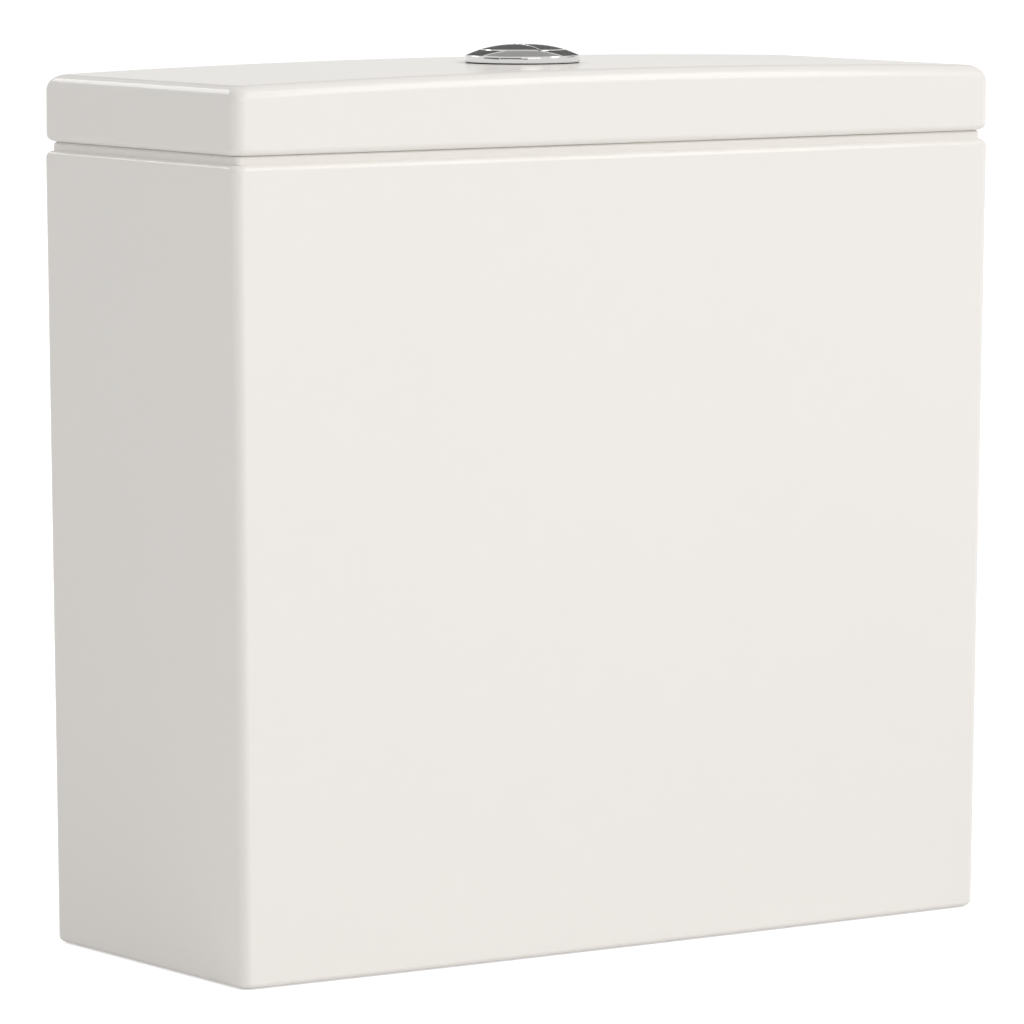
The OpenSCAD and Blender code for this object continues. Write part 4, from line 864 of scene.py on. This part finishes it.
make_tank()
make_lid()
make_bezel()
make_button("full_flush_cap", "full_button", 1)
make_button("half_flush_cap", "half_button", -1)
make_spring("full_coil", "full_spring", FULL_X)
make_spring("half_coil", "half_spring", HALF_X)
MADE = {"tank", "lid", "button_bezel", "full_button", "half_button", "full_spring", "half_spring"}
# of each thread: axis, radius of the crest, low end, high end, pitch, depth
THREADS = {
    "button_housing": [(VALVE_XY, 19 * MM, 318.5 * MM, 333 * MM, 2 * MM, 0.7 * MM)],
    "valve_base": [(VALVE_XY, 29 * MM, 2 * MM, 10 * MM, 2.5 * MM, 0.9 * MM)],
    "inlet_shank": [(INLET_XY, 10.4775 * MM, 2 * MM, 21 * MM, 1.814 * MM, 0.8 * MM)],
    "coupling_bolts": [
        ((side * BOLT_X, VALVE_XY[1]), 4 * MM, 2 * MM, 21.4 * MM, 1.25 * MM, 0.55 * MM) for side in (-1, 1)
    ],
}
# nuts with flat faces that run all round a bore
BORES = {"clamp_nut": VALVE_XY, "inlet_nut": INLET_XY}
# solids whose faces are left in triangles
IN_TRIANGLES = {"valve_base"}
# widest that edges are eased in millimetres, by slot, and for the fittings that have their own; where edges
# lie too close together for a bevel to show it is 0
EASE = {
    "white_plastic": 0.35, "grey_plastic": 0.35, "blue_plastic": 0.35,
    "rubber": 0.3, "steel": 0.2, "brass": 0.2,
}
OWN_EDGE = {"clamp_nut": 0.2, "lift_yoke": 0, "valve_base": 0, "valve_bonnet": 0}
for node_name in list(frame["nodes"]):
    if node_name not in MADE:
        edge = OWN_EDGE.get(node_name, EASE[NODE_SLOT[node_name]])
        fit_out(node_name, edge * MM, THREADS.get(node_name, ()), BORES.get(node_name))


# Stage: floor, lights, world and camera

STAGE_SIZE = 30
STAGE_DROP = 0.5 * MM
FLOOR_TONE = 0.9
FLOOR_GLOW = 0.6
SKY_LIGHT = 0.56
SKY_SEEN = 1.0
MATT = 0.9
MIDDLE = (0, 0, 0.35)
CAMERA_AT = (-1.5848, -2.2886, 0.4622)
CAMERA_TURN = (84.0, 0, -34.59)
CAMERA_LENS = 241.5
CAMERA_FILM = 36
CAMERA_FAR = 60


def ray_mask(tree):
    """1 for camera, mirror and glass rays, 0 for the light that reaches a surface."""
    path = tree.nodes.new("ShaderNodeLightPath")
    both = tree.nodes.new("ShaderNodeMath")
    both.operation = "MAXIMUM"
    seen = tree.nodes.new("ShaderNodeMath")
    seen.operation = "MAXIMUM"
    tree.links.new(path.outputs["Is Camera Ray"], both.inputs[0])
    tree.links.new(path.outputs["Is Glossy Ray"], both.inputs[1])
    tree.links.new(both.outputs[0], seen.inputs[0])
    tree.links.new(path.outputs["Is Transmission Ray"], seen.inputs[1])
    return seen.outputs[0]


def card_material(name, tone):
    material = bpy.data.materials.new(name)
    material.use_nodes = True
    shader = material.node_tree.nodes["Principled BSDF"]
    shader.inputs["Base Color"].default_value = (tone, tone, tone, 1)
    shader.inputs["Roughness"].default_value = MATT
    shader.inputs["Specular IOR Level"].default_value = 0.0
    return material


def make_floor():
    begin()
    bpy.ops.mesh.primitive_plane_add(size=STAGE_SIZE, location=(0, 0, -STAGE_DROP))
    floor = bpy.context.object
    floor.name = "studio_floor"
    material = bpy.data.materials.new("studio_white")
    material.use_nodes = True
    tree = material.node_tree
    shader = tree.nodes["Principled BSDF"]
    shader.inputs["Base Color"].default_value = (FLOOR_TONE, FLOOR_TONE, FLOOR_TONE, 1)
    shader.inputs["Roughness"].default_value = MATT
    shader.inputs["Specular IOR Level"].default_value = 0.0
    shader.inputs["Emission Color"].default_value = (1, 1, 1, 1)
    glow = tree.nodes.new("ShaderNodeMath")
    glow.operation = "MULTIPLY"
    glow.inputs[1].default_value = FLOOR_GLOW
    tree.links.new(ray_mask(tree), glow.inputs[0])
    tree.links.new(glow.outputs[0], shader.inputs["Emission Strength"])
    floor.data.materials.append(material)


def make_world():
    world = bpy.data.worlds.new("studio")
    bpy.context.scene.world = world
    world.use_nodes = True
    tree = world.node_tree
    background = tree.nodes["Background"]
    background.inputs["Color"].default_value = (1, 1, 1, 1)
    level = tree.nodes.new("ShaderNodeMapRange")
    level.inputs["To Min"].default_value = SKY_LIGHT
    level.inputs["To Max"].default_value = SKY_SEEN
    tree.links.new(ray_mask(tree), level.inputs["Value"])
    tree.links.new(level.outputs["Result"], background.inputs["Strength"])


def make_card(name, tone, at, aim, width, height):
    """A studio card that only bright metal and glaze mirror."""
    begin()
    turn = (Vector(aim) - Vector(at)).to_track_quat("Z", "Y").to_euler()
    bpy.ops.mesh.primitive_plane_add(size=1, location=at, rotation=turn)
    card = bpy.context.object
    card.name = name
    card.scale = (width, height, 1)
    bpy.ops.object.transform_apply(location=True, rotation=True, scale=True)
    card.data.materials.append(card_material(name + "_paper", tone))
    card.visible_camera = False
    card.visible_diffuse = False
    card.visible_shadow = False
    card.visible_transmission = False


def make_light(name, at, aim, width, height, power, colour, roll):
    """A soft box at a place, aimed at a point and turned by roll about its own axis."""
    begin()
    bpy.ops.object.light_add(type="AREA", location=at)
    lamp = bpy.context.object
    lamp.name = name
    lamp.data.shape = "RECTANGLE"
    lamp.data.size = width
    lamp.data.size_y = height
    lamp.data.energy = power
    lamp.data.color = colour
    lamp.rotation_euler = (Vector(aim) - Vector(at)).to_track_quat("-Z", "Y").to_euler()
    lamp.rotation_euler.rotate_axis("Z", math.radians(roll))
    lamp.visible_camera = False


def make_camera():
    begin()
    bpy.ops.object.camera_add(location=CAMERA_AT, rotation=[math.radians(a) for a in CAMERA_TURN])
    camera = bpy.context.object
    camera.data.sensor_width = CAMERA_FILM
    camera.data.lens = CAMERA_LENS
    camera.data.clip_end = CAMERA_FAR
    bpy.context.scene.camera = camera


make_floor()
make_world()
# place, aim, width, height, watts, colour, roll in degrees
make_light("front_box", (-0.5, -1.6, 0.9), (0, 0, 0.25), 1.2, 0.4, 4.4, (1.0, 0.98, 0.95), 0)
make_light("top_box", (2.84, -2.79, 3.34), (0, 0, 0.3), 1.2, 3.6, 89, (1.0, 0.985, 0.97), -32)
make_light("back_box", (-1.0, 4.1, 3.0), MIDDLE, 2.2, 0.9, 36, (1.0, 0.99, 0.97), 0)
# tone, place, aim, width, height
make_card("dark_card", 0.2, (1.7, 2.45, 1.53), MIDDLE, 1.5, 1.55)
make_card("left_card", 0.25, (-2.95, 0.55, 1.2), MIDDLE, 2.0, 1.0)
make_card("right_card", 0.25, (2.9, -0.3, 1.2), MIDDLE, 1.6, 1.0)
make_card("camera_card", 0.25, (-2.65, -2.0, 1.35), MIDDLE, 3.6, 1.0)
make_card("grey_card", 0.6, (1.35, 1.95, 3.3), MIDDLE, 1.6, 1.9)
make_camera()
bpy.context.scene.view_settings.view_transform = "Standard"
